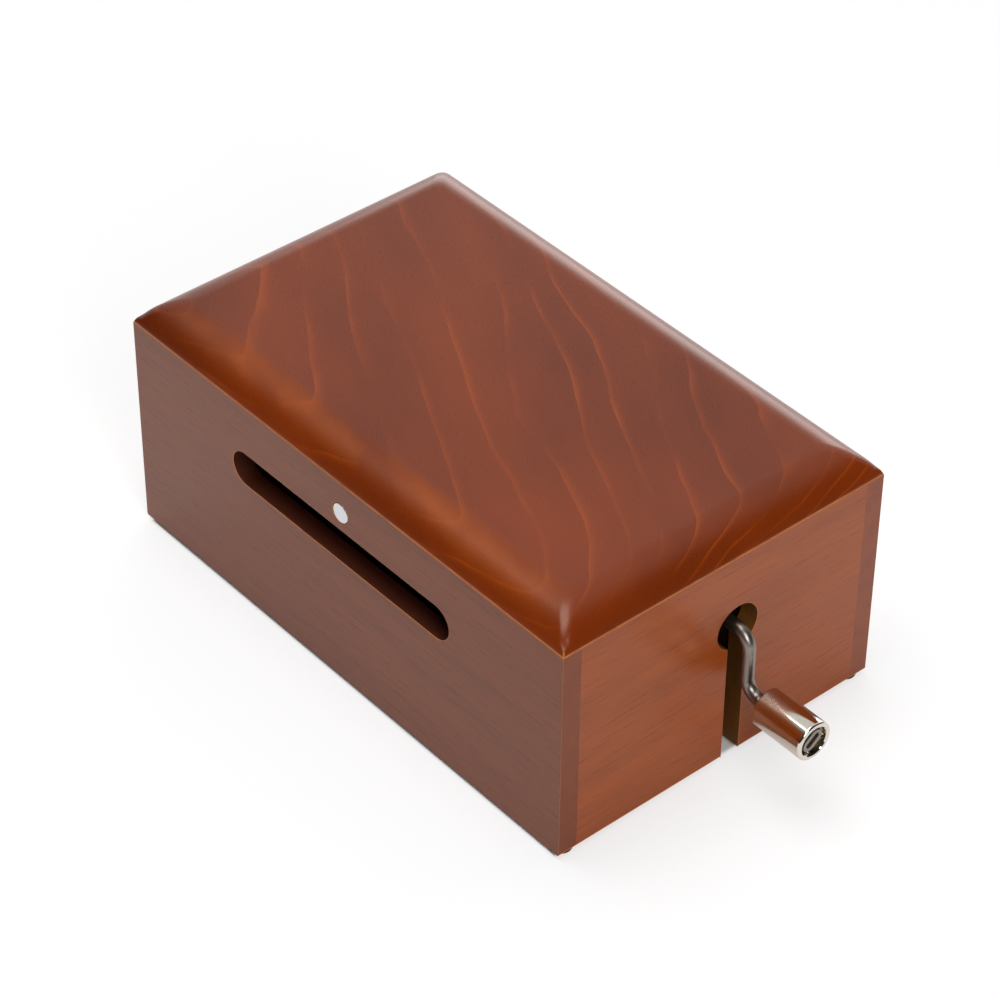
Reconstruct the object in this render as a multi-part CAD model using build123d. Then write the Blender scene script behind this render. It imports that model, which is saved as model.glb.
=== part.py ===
from build123d import *
import os
from math import acos, atan2, cos, degrees, pi, radians, sin, sqrt, tan

# Hand-cranked music box for punched paper strips.
# A wooden case stands round a movement: the crank turns a pinion, the pinion turns a feed roller,
# the roller draws a strip in at the front slot and out at the back one, and the strip's holes turn
# star wheels that pluck a tuned comb.
# Millimetres. +X points to the crank's side, +Y to the back, +Z up.
# The origin is on the floor, under the middle of the case.

# Case boards
CASE_LENGTH = 160.0
CASE_DEPTH = 99.2
WALL_HEIGHT = 61.6
WALL = 5.4
EDGE_EASE = 0.4
LID_THICKNESS = 6.9
LID_EDGE_RADIUS = 12.4
BASE_THICKNESS = 6.0
BASE_RECESS = 1.0
BASE_GAP = 0.3
BLOCK_SIDE = 12.0
BLOCK_HEIGHT = 12.0

# Stick-on feet
FOOT_HEIGHT = 1.2
FOOT_DIAMETER = 6.0
FOOT_INSET = 3.6

# Strip slots and the inlaid marker over the front one
SLOT_LENGTH = 81.4
SLOT_HEIGHT = 9.7
SLOT_RISE = 42.3
MARKER_DIAMETER = 5.4
MARKER_DEPTH = 2.0
MARKER_GAP = 0.15
MARKER_OFFSET = 1.2
MARKER_RISE = 52.3

# Crank, its keyhole in the right panel, and its knob
CRANK_RISE = 40.0
CRANK_SETBACK = 53.8
KEYHOLE_DIAMETER = 12.6
KEYHOLE_SLOT = 5.5
ROD_DIAMETER = 3.4
CRANK_ARM = 17.0
CRANK_BEND = 4.5
ARM_STANDOFF = 4.1
KNOB_STANDOFF = 11.0
KNOB_LENGTH = 15.8
KNOB_NEAR_DIAMETER = 10.3
KNOB_FAR_DIAMETER = 10.4
KNOB_ROUND = 0.6
KNOB_CUP_DIAMETER = 7.7
KNOB_CUP_DEPTH = 2.8
STAKE_LENGTH = 6.4
STAKE_WIDTH = 4.0
STAKE_HEIGHT = 2.2
STAKE_GROOVE_WIDTH = 1.6
STAKE_GROOVE_DEPTH = 1.1
STAKE_TURN = 38.0
EAR_SPAN = 4.7
EAR_THICKNESS = 2.1
EAR_LENGTH = 1.2
EAR_GAP = 0.2
COLLAR_DIAMETER = 7.0
COLLAR_LENGTH = 4.0

# Gear pair from the crank to the feed roller
GEAR_MODULE = 0.8
PINION_TEETH = 12
GEAR_TEETH = 24
PRESSURE_ANGLE = 20.0
ADDENDUM = 0.64
DEDENDUM = 0.9
BACKLASH = 0.14
PINION_WIDTH = 5.0
GEAR_WIDTH = 4.0
GEAR_ROOM = 10.5
GEAR_STANDOFF = 2.5
PINION_HUB_DIAMETER = 5.6
GEAR_HUB_DIAMETER = 9.0
GEAR_HUB_LENGTH = 1.5

# Strip path
STRIP_WIDTH = 70.0
STRIP_SIDE_ROOM = 2.0
STRIP_GAP = 0.3
GUIDE_GAP = 1.8
GUIDE_THICKNESS = 1.0
GUIDE_SETBACK = 19.0
GUIDE_BACK_REACH = 10.6
GUIDE_SIDE_GAP = 0.1
GUIDE_TAB = 6.0
GUIDE_TAB_GAP = 0.1

# Rollers
AXLE_DIAMETER = 3.0
FEED_DIAMETER = 10.0
PRESSURE_DIAMETER = 8.0
SLEEVE_LENGTH = 20.0
SLEEVE_MARGIN = 1.0
ROLLER_WINDOW_ROOM = 0.5
BLOCK_WIDTH = 6.0
BLOCK_RISE = 4.0
BLOCK_SLIDE_GAP = 0.1
LEAF_THICKNESS = 0.4
LEAF_WIDTH = 5.0
LEAF_BOW = 2.0
TOP_BRIDGE_WIDTH = 8.0
TOP_BRIDGE_THICKNESS = 2.0

# Star wheels and comb
NOTE_COUNT = 20
NOTE_PITCH = 3.0
STAR_SETBACK = 45.0
STAR_DIAMETER = 11.0
STAR_WAIST_DIAMETER = 6.4
STAR_POINTS = 6
STAR_THICKNESS = 0.8
STAR_REACH = 1.2
STAR_SHAFT_DIAMETER = 2.0
STAR_HUB_DIAMETER = 3.8
STAR_HUB_GAP = 0.1
STAR_WINDOW_ROOM = 0.5
COMB_GAP = 0.15
COMB_THICKNESS = 0.8
COMB_HEEL_THICKNESS = 1.8
COMB_TOOTH_WIDTH = 2.2
COMB_BASS_LENGTH = 22.0
COMB_TREBLE_LENGTH = 14.0
COMB_HEEL_BACK = 30.4
COMB_MARGIN = 3.4
BRIDGE_DEPTH = 7.0
BRIDGE_OVERHANG = 1.0
WEIGHT_COUNT = 10
WEIGHT_WIDTH = 1.8
WEIGHT_BASS_LENGTH = 6.0
WEIGHT_TREBLE_LENGTH = 2.0
WEIGHT_BASS_HEIGHT = 1.8
WEIGHT_TREBLE_HEIGHT = 0.9
WEIGHT_SETBACK = 3.4
DAMPER_THICKNESS = 0.3
DAMPER_WIDTH = 0.6
DAMPER_TIP_GAP = 0.3
DAMPER_ROOT_DROP = 8.5
DAMPER_ROOT_HEIGHT = 3.0

# Movement frame
BEARER_WIDTH = 8.0
BEARER_HEIGHT = 12.8
BEARER_GAP = 0.6
BED_THICKNESS = 3.0
BED_SETBACK = 7.5
BED_BACK_REACH = 12.6
BED_CORNER_RADIUS = 3.0
BED_WINDOW_MARGIN = 3.0
CHEEK_THICKNESS = 3.5
CHEEK_FRONT_REACH = 11.0
CHEEK_BACK_REACH = 11.6
CHEEK_FRONT_TOP = 4.0
CHEEK_CORNER_RADIUS = 2.0
CHEEK_FLANGE = 8.0
BRACKET_WIDTH = 14.0
BRACKET_TOP = 6.0
BUSH_DIAMETER = 6.0
BUSH_FLANGE_DIAMETER = 8.0
BUSH_FLANGE = 0.8

# Screws
WOOD_SCREW_DIAMETER = 3.0
WOOD_SCREW_HEAD = 6.0
WOOD_SCREW_LENGTH = 15.0
MACHINE_SCREW_DIAMETER = 2.0
MACHINE_SCREW_HEAD = 4.0
MACHINE_SCREW_HEAD_HEIGHT = 1.5
SCREW_EDGE = 3.5

# Radial clearances: a shaft that turns, a piece that is pushed or screwed in
RUNNING = 0.05
SEAT = 0.02

# Levels and places that follow from the sizes above
wall_bottom = FOOT_HEIGHT
wall_top = wall_bottom + WALL_HEIGHT
half_length = CASE_LENGTH / 2
half_depth = CASE_DEPTH / 2
front_face = -half_depth
inner_half_length = half_length - WALL
inner_half_depth = half_depth - WALL
base_bottom = wall_bottom + BASE_RECESS
base_top = base_bottom + BASE_THICKNESS
bed_bottom = base_top + BEARER_HEIGHT
bed_top = bed_bottom + BED_THICKNESS
strip_z = wall_bottom + SLOT_RISE
crank_z = wall_bottom + CRANK_RISE
crank_y = front_face + CRANK_SETBACK
star_y = front_face + STAR_SETBACK
guide_front = front_face + GUIDE_SETBACK
bed_front = front_face + BED_SETBACK
bearer_front = BLOCK_SIDE + BEARER_GAP - inner_half_depth
sleeve_end = STRIP_WIDTH / 2 - SLEEVE_MARGIN

feed_radius = FEED_DIAMETER / 2
pressure_radius = PRESSURE_DIAMETER / 2
pinion_radius = GEAR_MODULE * PINION_TEETH / 2
gear_radius = GEAR_MODULE * GEAR_TEETH / 2
feed_z = strip_z - STRIP_GAP / 2 - feed_radius
pressure_z = strip_z + STRIP_GAP / 2 + pressure_radius
feed_y = crank_y + sqrt((pinion_radius + gear_radius) ** 2 - (crank_z - feed_z) ** 2)
star_radius = STAR_DIAMETER / 2
star_z = strip_z + STAR_REACH - star_radius

guide_half = STRIP_WIDTH / 2 + STRIP_SIDE_ROOM
cheek_outer = guide_half + CHEEK_THICKNESS
bracket_x = cheek_outer + GEAR_ROOM
bracket_outer = bracket_x + CHEEK_THICKNESS
cheek_front = star_y - CHEEK_FRONT_REACH
cheek_back = feed_y + CHEEK_BACK_REACH
block_top = pressure_z + BLOCK_RISE
cheek_top = block_top + LEAF_BOW + LEAF_THICKNESS
lower_guide_z = strip_z - GUIDE_GAP / 2 - GUIDE_THICKNESS
upper_guide_z = strip_z + GUIDE_GAP / 2
guide_back = feed_y + GUIDE_BACK_REACH
bed_left = -(cheek_outer + BEARER_WIDTH)
bed_right = bracket_x - SEAT + BEARER_WIDTH
bed_back = feed_y + BED_BACK_REACH

comb_tip_y = star_y - star_radius - COMB_GAP
comb_bottom = star_z - COMB_THICKNESS / 2
comb_heel_y = comb_tip_y - COMB_HEEL_BACK
comb_half = (NOTE_COUNT - 1) * NOTE_PITCH / 2 + COMB_MARGIN
bridge_front = comb_heel_y - BRIDGE_OVERHANG
bridge_back = comb_heel_y + BRIDGE_DEPTH
comb_screw_y = comb_heel_y + SCREW_EDGE
note_places = [(i - (NOTE_COUNT - 1) / 2) * NOTE_PITCH for i in range(NOTE_COUNT)]

case_right = half_length
arm_x = case_right + ARM_STANDOFF
knob_near = case_right + KNOB_STANDOFF
knob_far = knob_near + KNOB_LENGTH
knob_z = crank_z - CRANK_ARM
cup_floor = knob_far - KNOB_CUP_DEPTH


# Shared shapes


def board(x_span, y_span, z_span):
    """A box from its spans along X, Y and Z."""
    spans = (x_span, y_span, z_span)
    sizes = [high - low for low, high in spans]
    return Pos(*[(low + high) / 2 for low, high in spans]) * Box(*sizes)


def across(x, y, z):
    """A plane square to X, so that a sketch on it extrudes along +X. Its own axes are Y and Z."""
    return Plane(origin=(x, y, z), x_dir=(0, 1, 0), z_dir=(1, 0, 0))


def rod(x_span, y, z, radius):
    """A round bar along X."""
    return extrude(across(x_span[0], y, z) * Circle(radius), x_span[1] - x_span[0])


def tube(x_span, y, z, outer, inner):
    """A round sleeve along X."""
    ring = Circle(outer) - Circle(inner)
    return extrude(across(x_span[0], y, z) * ring, x_span[1] - x_span[0])


def post(x, y, z_span, radius):
    """A round bar along Z."""
    return extrude(Plane((x, y, z_span[0])) * Circle(radius), z_span[1] - z_span[0])


def machine_screw(x, y, seat_z, length):
    """A pan-head screw with a driver slot, its head on seat_z and its shank below."""
    head = post(x, y, (seat_z, seat_z + MACHINE_SCREW_HEAD_HEIGHT), MACHINE_SCREW_HEAD / 2)
    head = chamfer(head.edges().group_by(Axis.Z)[-1], MACHINE_SCREW_HEAD_HEIGHT / 3)
    slot_side = MACHINE_SCREW_HEAD_HEIGHT / 2
    slot_top = seat_z + MACHINE_SCREW_HEAD_HEIGHT
    slot = Pos(x, y, slot_top) * Box(MACHINE_SCREW_HEAD, slot_side, slot_side)
    shank = post(x, y, (seat_z - length, seat_z), MACHINE_SCREW_DIAMETER / 2)
    return head - slot + shank


def screw_hole(x, y, z_span):
    """The hole that a machine screw's shank passes through."""
    return post(x, y, z_span, MACHINE_SCREW_DIAMETER / 2 + SEAT)


# Case


def eased(panel, outward, outer_ends):
    """A panel with its outer lower edge, and its outer ends where they show, slightly rounded."""
    outer_face = panel.faces().sort_by(outward)[-1]
    edges = [outer_face.edges().sort_by(Axis.Z)[0]]
    if outer_ends:
        edges += outer_face.edges().filter_by(Axis.Z)
    return fillet(edges, EDGE_EASE)


def strip_slot(y_span):
    """The round-ended opening that the strip passes through."""
    outline = Plane((0, y_span[0], strip_z), x_dir=(1, 0, 0), z_dir=(0, 1, 0))
    return extrude(outline * SlotOverall(SLOT_LENGTH, SLOT_HEIGHT), y_span[1] - y_span[0])


def make_front_panel():
    """The long front board, with the strip slot and the marker's shallow hole."""
    span = (-half_depth, -inner_half_depth)
    panel = board((-half_length, half_length), span, (wall_bottom, wall_top))
    panel = eased(panel, -Axis.Y, True) - strip_slot(span)
    return panel - marker(MARKER_DIAMETER / 2 + MARKER_GAP)


def make_back_panel():
    """The long back board, with the slot that the strip leaves by."""
    span = (inner_half_depth, half_depth)
    panel = board((-half_length, half_length), span, (wall_bottom, wall_top))
    return eased(panel, Axis.Y, True) - strip_slot(span)


def make_left_panel():
    """The plain end board, set between the front and the back."""
    span = (-half_length, -inner_half_length)
    panel = board(span, (-inner_half_depth, inner_half_depth), (wall_bottom, wall_top))
    return eased(panel, -Axis.X, False)


def make_right_panel():
    """The end board with a keyhole, so that the crank slides up into place from below."""
    span = (inner_half_length, half_length)
    panel = board(span, (-inner_half_depth, inner_half_depth), (wall_bottom, wall_top))
    keyhole = rod(span, crank_y, crank_z, KEYHOLE_DIAMETER / 2)
    sides = (crank_y - KEYHOLE_SLOT / 2, crank_y + KEYHOLE_SLOT / 2)
    return eased(panel, Axis.X, False) - keyhole - board(span, sides, (wall_bottom, crank_z))


def lid_section(half_width):
    """The lid's cross-section: flat on top, with an arc falling to each side."""
    turn = acos(1 - LID_THICKNESS / LID_EDGE_RADIUS)
    centre = half_width - LID_EDGE_RADIUS * sin(turn)

    def on_arc(angle, side):
        rise = LID_THICKNESS - LID_EDGE_RADIUS * (1 - cos(angle))
        return (side * (centre + LID_EDGE_RADIUS * sin(angle)), rise)

    right = [on_arc(angle, 1) for angle in (turn, turn / 2, 0)]
    left = [on_arc(angle, -1) for angle in (0, turn / 2, turn)]
    outline = ThreePointArc(*right) + Line(right[-1], left[0])
    outline += ThreePointArc(*left) + Line(left[-1], right[0])
    return make_face(outline)


def make_lid():
    """The top board. Its rounded edges meet in mitred ridges at the corners."""
    along = Plane((-half_length, 0, wall_top), x_dir=(0, 1, 0), z_dir=(1, 0, 0))
    sideways = Plane((0, half_depth, wall_top), x_dir=(1, 0, 0), z_dir=(0, -1, 0))
    length_run = extrude(along * lid_section(half_depth), CASE_LENGTH)
    depth_run = extrude(sideways * lid_section(half_length), CASE_DEPTH)
    return length_run & depth_run


def marker(radius):
    """A disc let into the front panel's face over the slot."""
    place = Plane((MARKER_OFFSET, -half_depth, wall_bottom + MARKER_RISE), z_dir=(0, 1, 0))
    return extrude(place * Circle(radius), MARKER_DEPTH)


corners = {
    "front_left": (-1, -1),
    "front_right": (1, -1),
    "back_left": (-1, 1),
    "back_right": (1, 1),
}


def block_place(side_x, side_y):
    """The middle of a corner block, which is where its screw goes."""
    return (
        side_x * (inner_half_length - BLOCK_SIDE / 2),
        side_y * (inner_half_depth - BLOCK_SIDE / 2),
    )


def make_foot(side_x, side_y):
    """A round stick-on pad under a corner of the walls."""
    x = side_x * (half_length - FOOT_INSET)
    y = side_y * (half_depth - FOOT_INSET)
    return post(x, y, (0, FOOT_HEIGHT), FOOT_DIAMETER / 2)


def make_corner_block(side_x, side_y):
    """A glue block in a corner of the case, bored for the base board's screw."""
    x, y = block_place(side_x, side_y)
    half = BLOCK_SIDE / 2
    top = base_top + BLOCK_HEIGHT
    block = board((x - half, x + half), (y - half, y + half), (base_top, top))
    inner_edge = block.edges().filter_by(Axis.Z).sort_by(lambda e: abs(e.center().X) + abs(e.center().Y))[0]
    block = chamfer(inner_edge, half)
    bore_top = base_bottom + WOOD_SCREW_LENGTH + SEAT
    return block - post(x, y, (base_top, bore_top), WOOD_SCREW_DIAMETER / 2 + SEAT)


def wood_screw_section(grow):
    """Half the outline of a countersunk wood screw, point up, with its head at the origin."""
    head = WOOD_SCREW_HEAD / 2 + grow
    shank = WOOD_SCREW_DIAMETER / 2 + grow
    cone = WOOD_SCREW_HEAD / 2 - WOOD_SCREW_DIAMETER / 2
    taper = WOOD_SCREW_LENGTH - WOOD_SCREW_DIAMETER
    points = [(0, 0), (head, 0), (shank, cone), (shank, taper), (0, WOOD_SCREW_LENGTH)]
    return make_face(Polyline(*points, close=True))


def wood_screw(x, y, grow):
    """A wood screw driven up through the base board, or with grow the hole that it needs."""
    place = Plane((x, y, base_bottom), x_dir=(1, 0, 0), z_dir=(0, -1, 0))
    return revolve(place * wood_screw_section(grow), Axis((x, y, 0), (0, 0, 1)))


def make_base_screws():
    """The four screws that hold the base board to the corner blocks."""
    return Compound([wood_screw(*block_place(*side), 0) for side in corners.values()])


def make_base_board():
    """The board that closes the case from below and carries the movement."""
    x = inner_half_length - BASE_GAP
    y = inner_half_depth - BASE_GAP
    base = board((-x, x), (-y, y), (base_bottom, base_top))
    for side in corners.values():
        base -= wood_screw(*block_place(*side), SEAT)
    return base


# Movement frame


bearers = {
    "left": (bed_left, bed_left + BEARER_WIDTH),
    "right": (bed_right - BEARER_WIDTH, bed_right),
}
bed_screw_rows = (bearer_front + SCREW_EDGE, bed_back - SCREW_EDGE)
bed_screw_places = [(sum(span) / 2, y) for span in bearers.values() for y in bed_screw_rows]
cheek_screw_x = guide_half - CHEEK_FLANGE / 2 - CHEEK_THICKNESS / 2
cheek_screw_rows = (cheek_front + SCREW_EDGE, cheek_back - SCREW_EDGE)
bracket_screw_x = bracket_x - CHEEK_FLANGE / 2
bracket_screw_rows = (crank_y - BRACKET_WIDTH / 2 + SCREW_EDGE, crank_y + BRACKET_WIDTH / 2 - SCREW_EDGE)
comb_screw_places = [(share * comb_half, comb_screw_y) for share in (-0.75, 0, 0.75)]
bed_screw_length = BED_THICKNESS + BEARER_HEIGHT / 2
flange_screw_length = CHEEK_THICKNESS + BED_THICKNESS
comb_screw_length = COMB_HEEL_THICKNESS + BRIDGE_DEPTH
top_screw_length = TOP_BRIDGE_THICKNESS + MACHINE_SCREW_HEAD
top_bridge_top = cheek_top + TOP_BRIDGE_THICKNESS


def make_bearer(side):
    """A wooden rail that lifts the movement off the base board."""
    rail = board(bearers[side], (bearer_front, bed_back), (base_top, bed_bottom))
    for x, y in bed_screw_places:
        rail -= screw_hole(x, y, (bed_top - bed_screw_length - SEAT, bed_bottom))
    return rail


def make_bedplate():
    """The cast plate that everything in the movement stands on, open in the middle."""
    plate = board((bed_left, bed_right), (bed_front, bed_back), (bed_bottom, bed_top))
    plate = fillet(plate.edges().filter_by(Axis.Z), BED_CORNER_RADIUS)
    window_x = guide_half - CHEEK_FLANGE - BED_WINDOW_MARGIN
    window_y = (bridge_back + BED_WINDOW_MARGIN, feed_y)
    window = board((-window_x, window_x), window_y, (bed_bottom, bed_top))
    plate -= fillet(window.edges().filter_by(Axis.Z), BED_CORNER_RADIUS)
    holes = bed_screw_places + [(side * cheek_screw_x, y) for side in (-1, 1) for y in cheek_screw_rows]
    holes += [(bracket_screw_x, y) for y in bracket_screw_rows]
    for x, y in holes:
        plate -= screw_hole(x, y, (bed_bottom, bed_top))
    return plate


def cheek_outline():
    """The upright's outline in Y and Z, high over the rollers and low over the star wheels."""
    front_top = strip_z + CHEEK_FRONT_TOP
    shoulder = feed_y - TOP_BRIDGE_WIDTH
    points = [
        (cheek_front, bed_top),
        (cheek_back, bed_top),
        (cheek_back, front_top),
        (feed_y + TOP_BRIDGE_WIDTH, cheek_top),
        (shoulder, cheek_top),
        (star_y, front_top),
        (cheek_front, front_top),
    ]
    outline = make_face(Polyline(*points, close=True))
    upper = [v for v in outline.vertices() if v.Y > bed_top + CHEEK_CORNER_RADIUS]
    return fillet(upper, CHEEK_CORNER_RADIUS)


guide_tab_rows = (cheek_front + GUIDE_TAB / 2 + SCREW_EDGE / 2, cheek_back - GUIDE_TAB / 2 - SCREW_EDGE / 2)


def guide_tabs(x_span, z, grow):
    """The two tabs that a guide plate plugs into a cheek with, or with grow their slots."""
    half = GUIDE_TAB / 2 + grow
    heights = (z - grow, z + GUIDE_THICKNESS + grow)
    return [board(x_span, (y - half, y + half), heights) for y in guide_tab_rows]


def make_cheek(side):
    """A side plate of the movement: the rollers and the star wheels' shaft run between the two."""
    x = -cheek_outer if side < 0 else guide_half
    span = (x, x + CHEEK_THICKNESS)
    cheek = extrude(across(x, 0, 0) * cheek_outline(), CHEEK_THICKNESS)
    foot = sorted((side * guide_half, side * (guide_half - CHEEK_FLANGE)))
    flange = board(foot, (cheek_front, cheek_back), (bed_top, bed_top + CHEEK_THICKNESS))
    for y in cheek_screw_rows:
        flange -= screw_hole(side * cheek_screw_x, y, (bed_top, bed_top + CHEEK_THICKNESS))
    cheek += flange
    cheek -= rod(span, feed_y, feed_z, BUSH_DIAMETER / 2 + SEAT)
    cheek -= rod(span, star_y, star_z, STAR_SHAFT_DIAMETER / 2 + SEAT)
    if side > 0:
        cheek -= rod(span, crank_y, crank_z, BUSH_DIAMETER / 2 + SEAT)
    half = BLOCK_WIDTH / 2 + BLOCK_SLIDE_GAP
    slot_floor = pressure_z - BLOCK_WIDTH / 2 - BLOCK_SLIDE_GAP
    cheek -= board(span, (feed_y - half, feed_y + half), (slot_floor, cheek_top))
    for z in (lower_guide_z, upper_guide_z):
        for slot in guide_tabs(span, z, GUIDE_TAB_GAP):
            cheek -= slot
    for x_screw, y in top_screw_places:
        cheek -= screw_hole(x_screw, y, (cheek_top - MACHINE_SCREW_HEAD, cheek_top))
    return cheek


top_screw_places = [
    (side * (guide_half + CHEEK_THICKNESS / 2), feed_y + way * (TOP_BRIDGE_WIDTH / 2 + SCREW_EDGE / 2))
    for side in (-1, 1)
    for way in (-1, 1)
]


def make_gear_bracket():
    """The outer plate that carries the crank's second bearing."""
    half = BRACKET_WIDTH / 2
    plate = board((bracket_x, bracket_outer), (crank_y - half, crank_y + half), (bed_top, crank_z))
    round_top = rod((bracket_x, bracket_outer), crank_y, crank_z, half)
    foot = (bracket_x - CHEEK_FLANGE + CHEEK_THICKNESS, bracket_x)
    flange = board(foot, (crank_y - half, crank_y + half), (bed_top, bed_top + CHEEK_THICKNESS))
    for y in bracket_screw_rows:
        flange -= screw_hole(bracket_screw_x, y, (bed_top, bed_top + CHEEK_THICKNESS))
    bracket = plate + round_top + flange
    return bracket - rod((bracket_x, bracket_outer), crank_y, crank_z, BUSH_DIAMETER / 2 + SEAT)


def make_bush(x, y, z, way, shaft):
    """A flanged bearing for a shaft, pushed into a plate from its inner face at x."""
    body = sorted((x, x + way * CHEEK_THICKNESS))
    flange = sorted((x - way * BUSH_FLANGE, x))
    bore = shaft / 2 + RUNNING
    bush = tube(body, y, z, BUSH_DIAMETER / 2, bore)
    return bush + tube(flange, y, z, BUSH_FLANGE_DIAMETER / 2, bore)


def make_top_bridge():
    """The bar across both cheeks that holds the leaf spring down."""
    half = TOP_BRIDGE_WIDTH / 2 + SCREW_EDGE
    top = cheek_top + TOP_BRIDGE_THICKNESS
    bar = board((-cheek_outer, cheek_outer), (feed_y - half, feed_y + half), (cheek_top, top))
    bar = fillet(bar.edges().filter_by(Axis.Z), CHEEK_CORNER_RADIUS)
    for x, y in top_screw_places:
        bar -= screw_hole(x, y, (cheek_top, top))
    return bar


def frame_screws(places, seat_z, length):
    """A group of like machine screws."""
    return Compound([machine_screw(x, y, seat_z, length) for x, y in places])


# Gears


def tooth_flank(teeth, root, tip):
    """Three points on one flank of a tooth that points along +X: root end, middle and tip end."""
    pitch = GEAR_MODULE * teeth / 2
    base = pitch * cos(radians(PRESSURE_ANGLE))

    def involute(angle):
        return tan(angle) - angle

    half_tooth = pi / (2 * teeth) - BACKLASH / (4 * pitch) + involute(radians(PRESSURE_ANGLE))
    start = max(root, base)
    points = []
    for radius in (start, (start + tip) / 2, tip):
        angle = half_tooth - involute(acos(base / radius))
        points.append((radius * cos(angle), radius * sin(angle)))
    return points


def gear_face(teeth, turn):
    """A spur gear's face, with involute flanks drawn as arcs and one tooth pointing at turn degrees."""
    pitch = GEAR_MODULE * teeth / 2
    root, tip = pitch - DEDENDUM, pitch + ADDENDUM
    upper = tooth_flank(teeth, root, tip)
    lower = [(x, -y) for x, y in upper]
    foot = root * cos(pi / teeth / 2)
    outline = ThreePointArc(*lower) + Line(lower[-1], upper[-1]) + ThreePointArc(*reversed(upper))
    outline += Polyline(upper[0], (foot, upper[0][1]), (foot, lower[0][1]), lower[0])
    tooth = make_face(outline)
    face = Circle(root) + [Rot(0, 0, turn + 360 * i / teeth) * tooth for i in range(teeth)]
    return face


mesh_turn = degrees(atan2(feed_z - crank_z, feed_y - crank_y))
gear_x = cheek_outer + GEAR_STANDOFF


def make_crank_pinion():
    """The small gear fixed on the crank, with one tooth pointing at the feed roller's axis."""
    bore = Circle(ROD_DIAMETER / 2 + SEAT)
    face = gear_face(PINION_TEETH, mesh_turn) - bore
    hub = Circle(PINION_HUB_DIAMETER / 2) - bore
    pinion = extrude(across(gear_x, crank_y, crank_z) * face, PINION_WIDTH)
    return pinion + extrude(across(gear_x + PINION_WIDTH, crank_y, crank_z) * hub, GEAR_HUB_LENGTH)


def make_feed_gear():
    """The large gear fixed on the feed roller's axle, with a gap facing the pinion's tooth."""
    half_pitch = 180 / GEAR_TEETH
    bore = Circle(AXLE_DIAMETER / 2 + SEAT)
    face = gear_face(GEAR_TEETH, mesh_turn + 180 + half_pitch) - bore
    start = gear_x + (PINION_WIDTH - GEAR_WIDTH) / 2
    gear = extrude(across(start, feed_y, feed_z) * face, GEAR_WIDTH)
    hub = Circle(GEAR_HUB_DIAMETER / 2) - bore
    return gear + extrude(across(start + GEAR_WIDTH, feed_y, feed_z) * hub, GEAR_HUB_LENGTH)


# Crank


def make_crank_rod():
    """The bent rod: in through the keyhole to the pinion, down the arm, and out to the knob.

    Pinched ears stop the knob on its inner side, and the staked end spreads in its cup to keep it on.
    """
    rod_end = cup_floor + RUNNING
    start = (guide_half + RUNNING, crank_y, crank_z)
    arm_corners = [(arm_x, crank_y, crank_z), (arm_x, crank_y, knob_z)]
    path = FilletPolyline(start, *arm_corners, (rod_end, crank_y, knob_z), radius=CRANK_BEND)
    bent = sweep(across(*start) * Circle(ROD_DIAMETER / 2), path=path)
    ears_start = knob_near - EAR_GAP - EAR_LENGTH
    ears = extrude(across(ears_start, crank_y, knob_z) * SlotOverall(EAR_SPAN, EAR_THICKNESS), EAR_LENGTH)
    stake_plane = across(rod_end, crank_y, knob_z) * Rot(0, 0, STAKE_TURN)
    stake = extrude(stake_plane * SlotOverall(STAKE_LENGTH, STAKE_WIDTH), STAKE_HEIGHT)
    groove_floor = rod_end + STAKE_HEIGHT - STAKE_GROOVE_DEPTH
    groove_plane = across(groove_floor, crank_y, knob_z) * Rot(0, 0, STAKE_TURN)
    groove_length = STAKE_LENGTH - STAKE_WIDTH / 2
    groove = extrude(groove_plane * SlotOverall(groove_length, STAKE_GROOVE_WIDTH), STAKE_GROOVE_DEPTH)
    return bent + ears + (stake - groove)


def make_crank_knob():
    """The turned knob: a slightly flared barrel with a cup in its free end."""
    near, far = KNOB_NEAR_DIAMETER / 2, KNOB_FAR_DIAMETER / 2
    bore, cup = ROD_DIAMETER / 2 + RUNNING, KNOB_CUP_DIAMETER / 2
    cup_start = KNOB_LENGTH - KNOB_CUP_DEPTH
    outside = [(0, bore), (0, near), (KNOB_LENGTH, far)]
    inside = [(KNOB_LENGTH, cup), (cup_start, cup), (cup_start, bore)]
    points = outside + inside
    section = make_face(Polyline(*points, close=True))
    outer = section.vertices().sort_by(Axis.Y)[-2:]
    section = fillet(outer, KNOB_ROUND)
    place = Plane((knob_near, crank_y, knob_z), x_dir=(1, 0, 0), z_dir=(0, -1, 0))
    return revolve(place * section, Axis((knob_near, crank_y, knob_z), (1, 0, 0)))


def make_crank_collar():
    """The ring outside the bracket that stops the crank from sliding in."""
    start = bracket_outer + BUSH_FLANGE + RUNNING
    span = (start, start + COLLAR_LENGTH)
    ring = tube(span, crank_y, crank_z, COLLAR_DIAMETER / 2, ROD_DIAMETER / 2 + SEAT)
    return chamfer(ring.edges().group_by(Axis.X)[-1].sort_by(SortBy.LENGTH)[-1], EDGE_EASE)


# Rollers and strip guides


sleeve_spans = {
    "left": (-sleeve_end, SLEEVE_LENGTH - sleeve_end),
    "right": (sleeve_end - SLEEVE_LENGTH, sleeve_end),
}


def make_feed_axle():
    """The feed roller's axle, long enough on the right to carry the large gear."""
    gear_end = gear_x + (PINION_WIDTH + GEAR_WIDTH) / 2 + GEAR_HUB_LENGTH
    return rod((-cheek_outer - BUSH_FLANGE, gear_end), feed_y, feed_z, AXLE_DIAMETER / 2)


def make_pressure_axle():
    """The pressure roller's axle, carried at both ends in sprung blocks."""
    return rod((-cheek_outer, cheek_outer), feed_y, pressure_z, AXLE_DIAMETER / 2)


def make_sleeve(side, z, radius):
    """A rubber sleeve bonded on a roller's axle."""
    return tube(sleeve_spans[side], feed_y, z, radius, AXLE_DIAMETER / 2 + SEAT)


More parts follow.
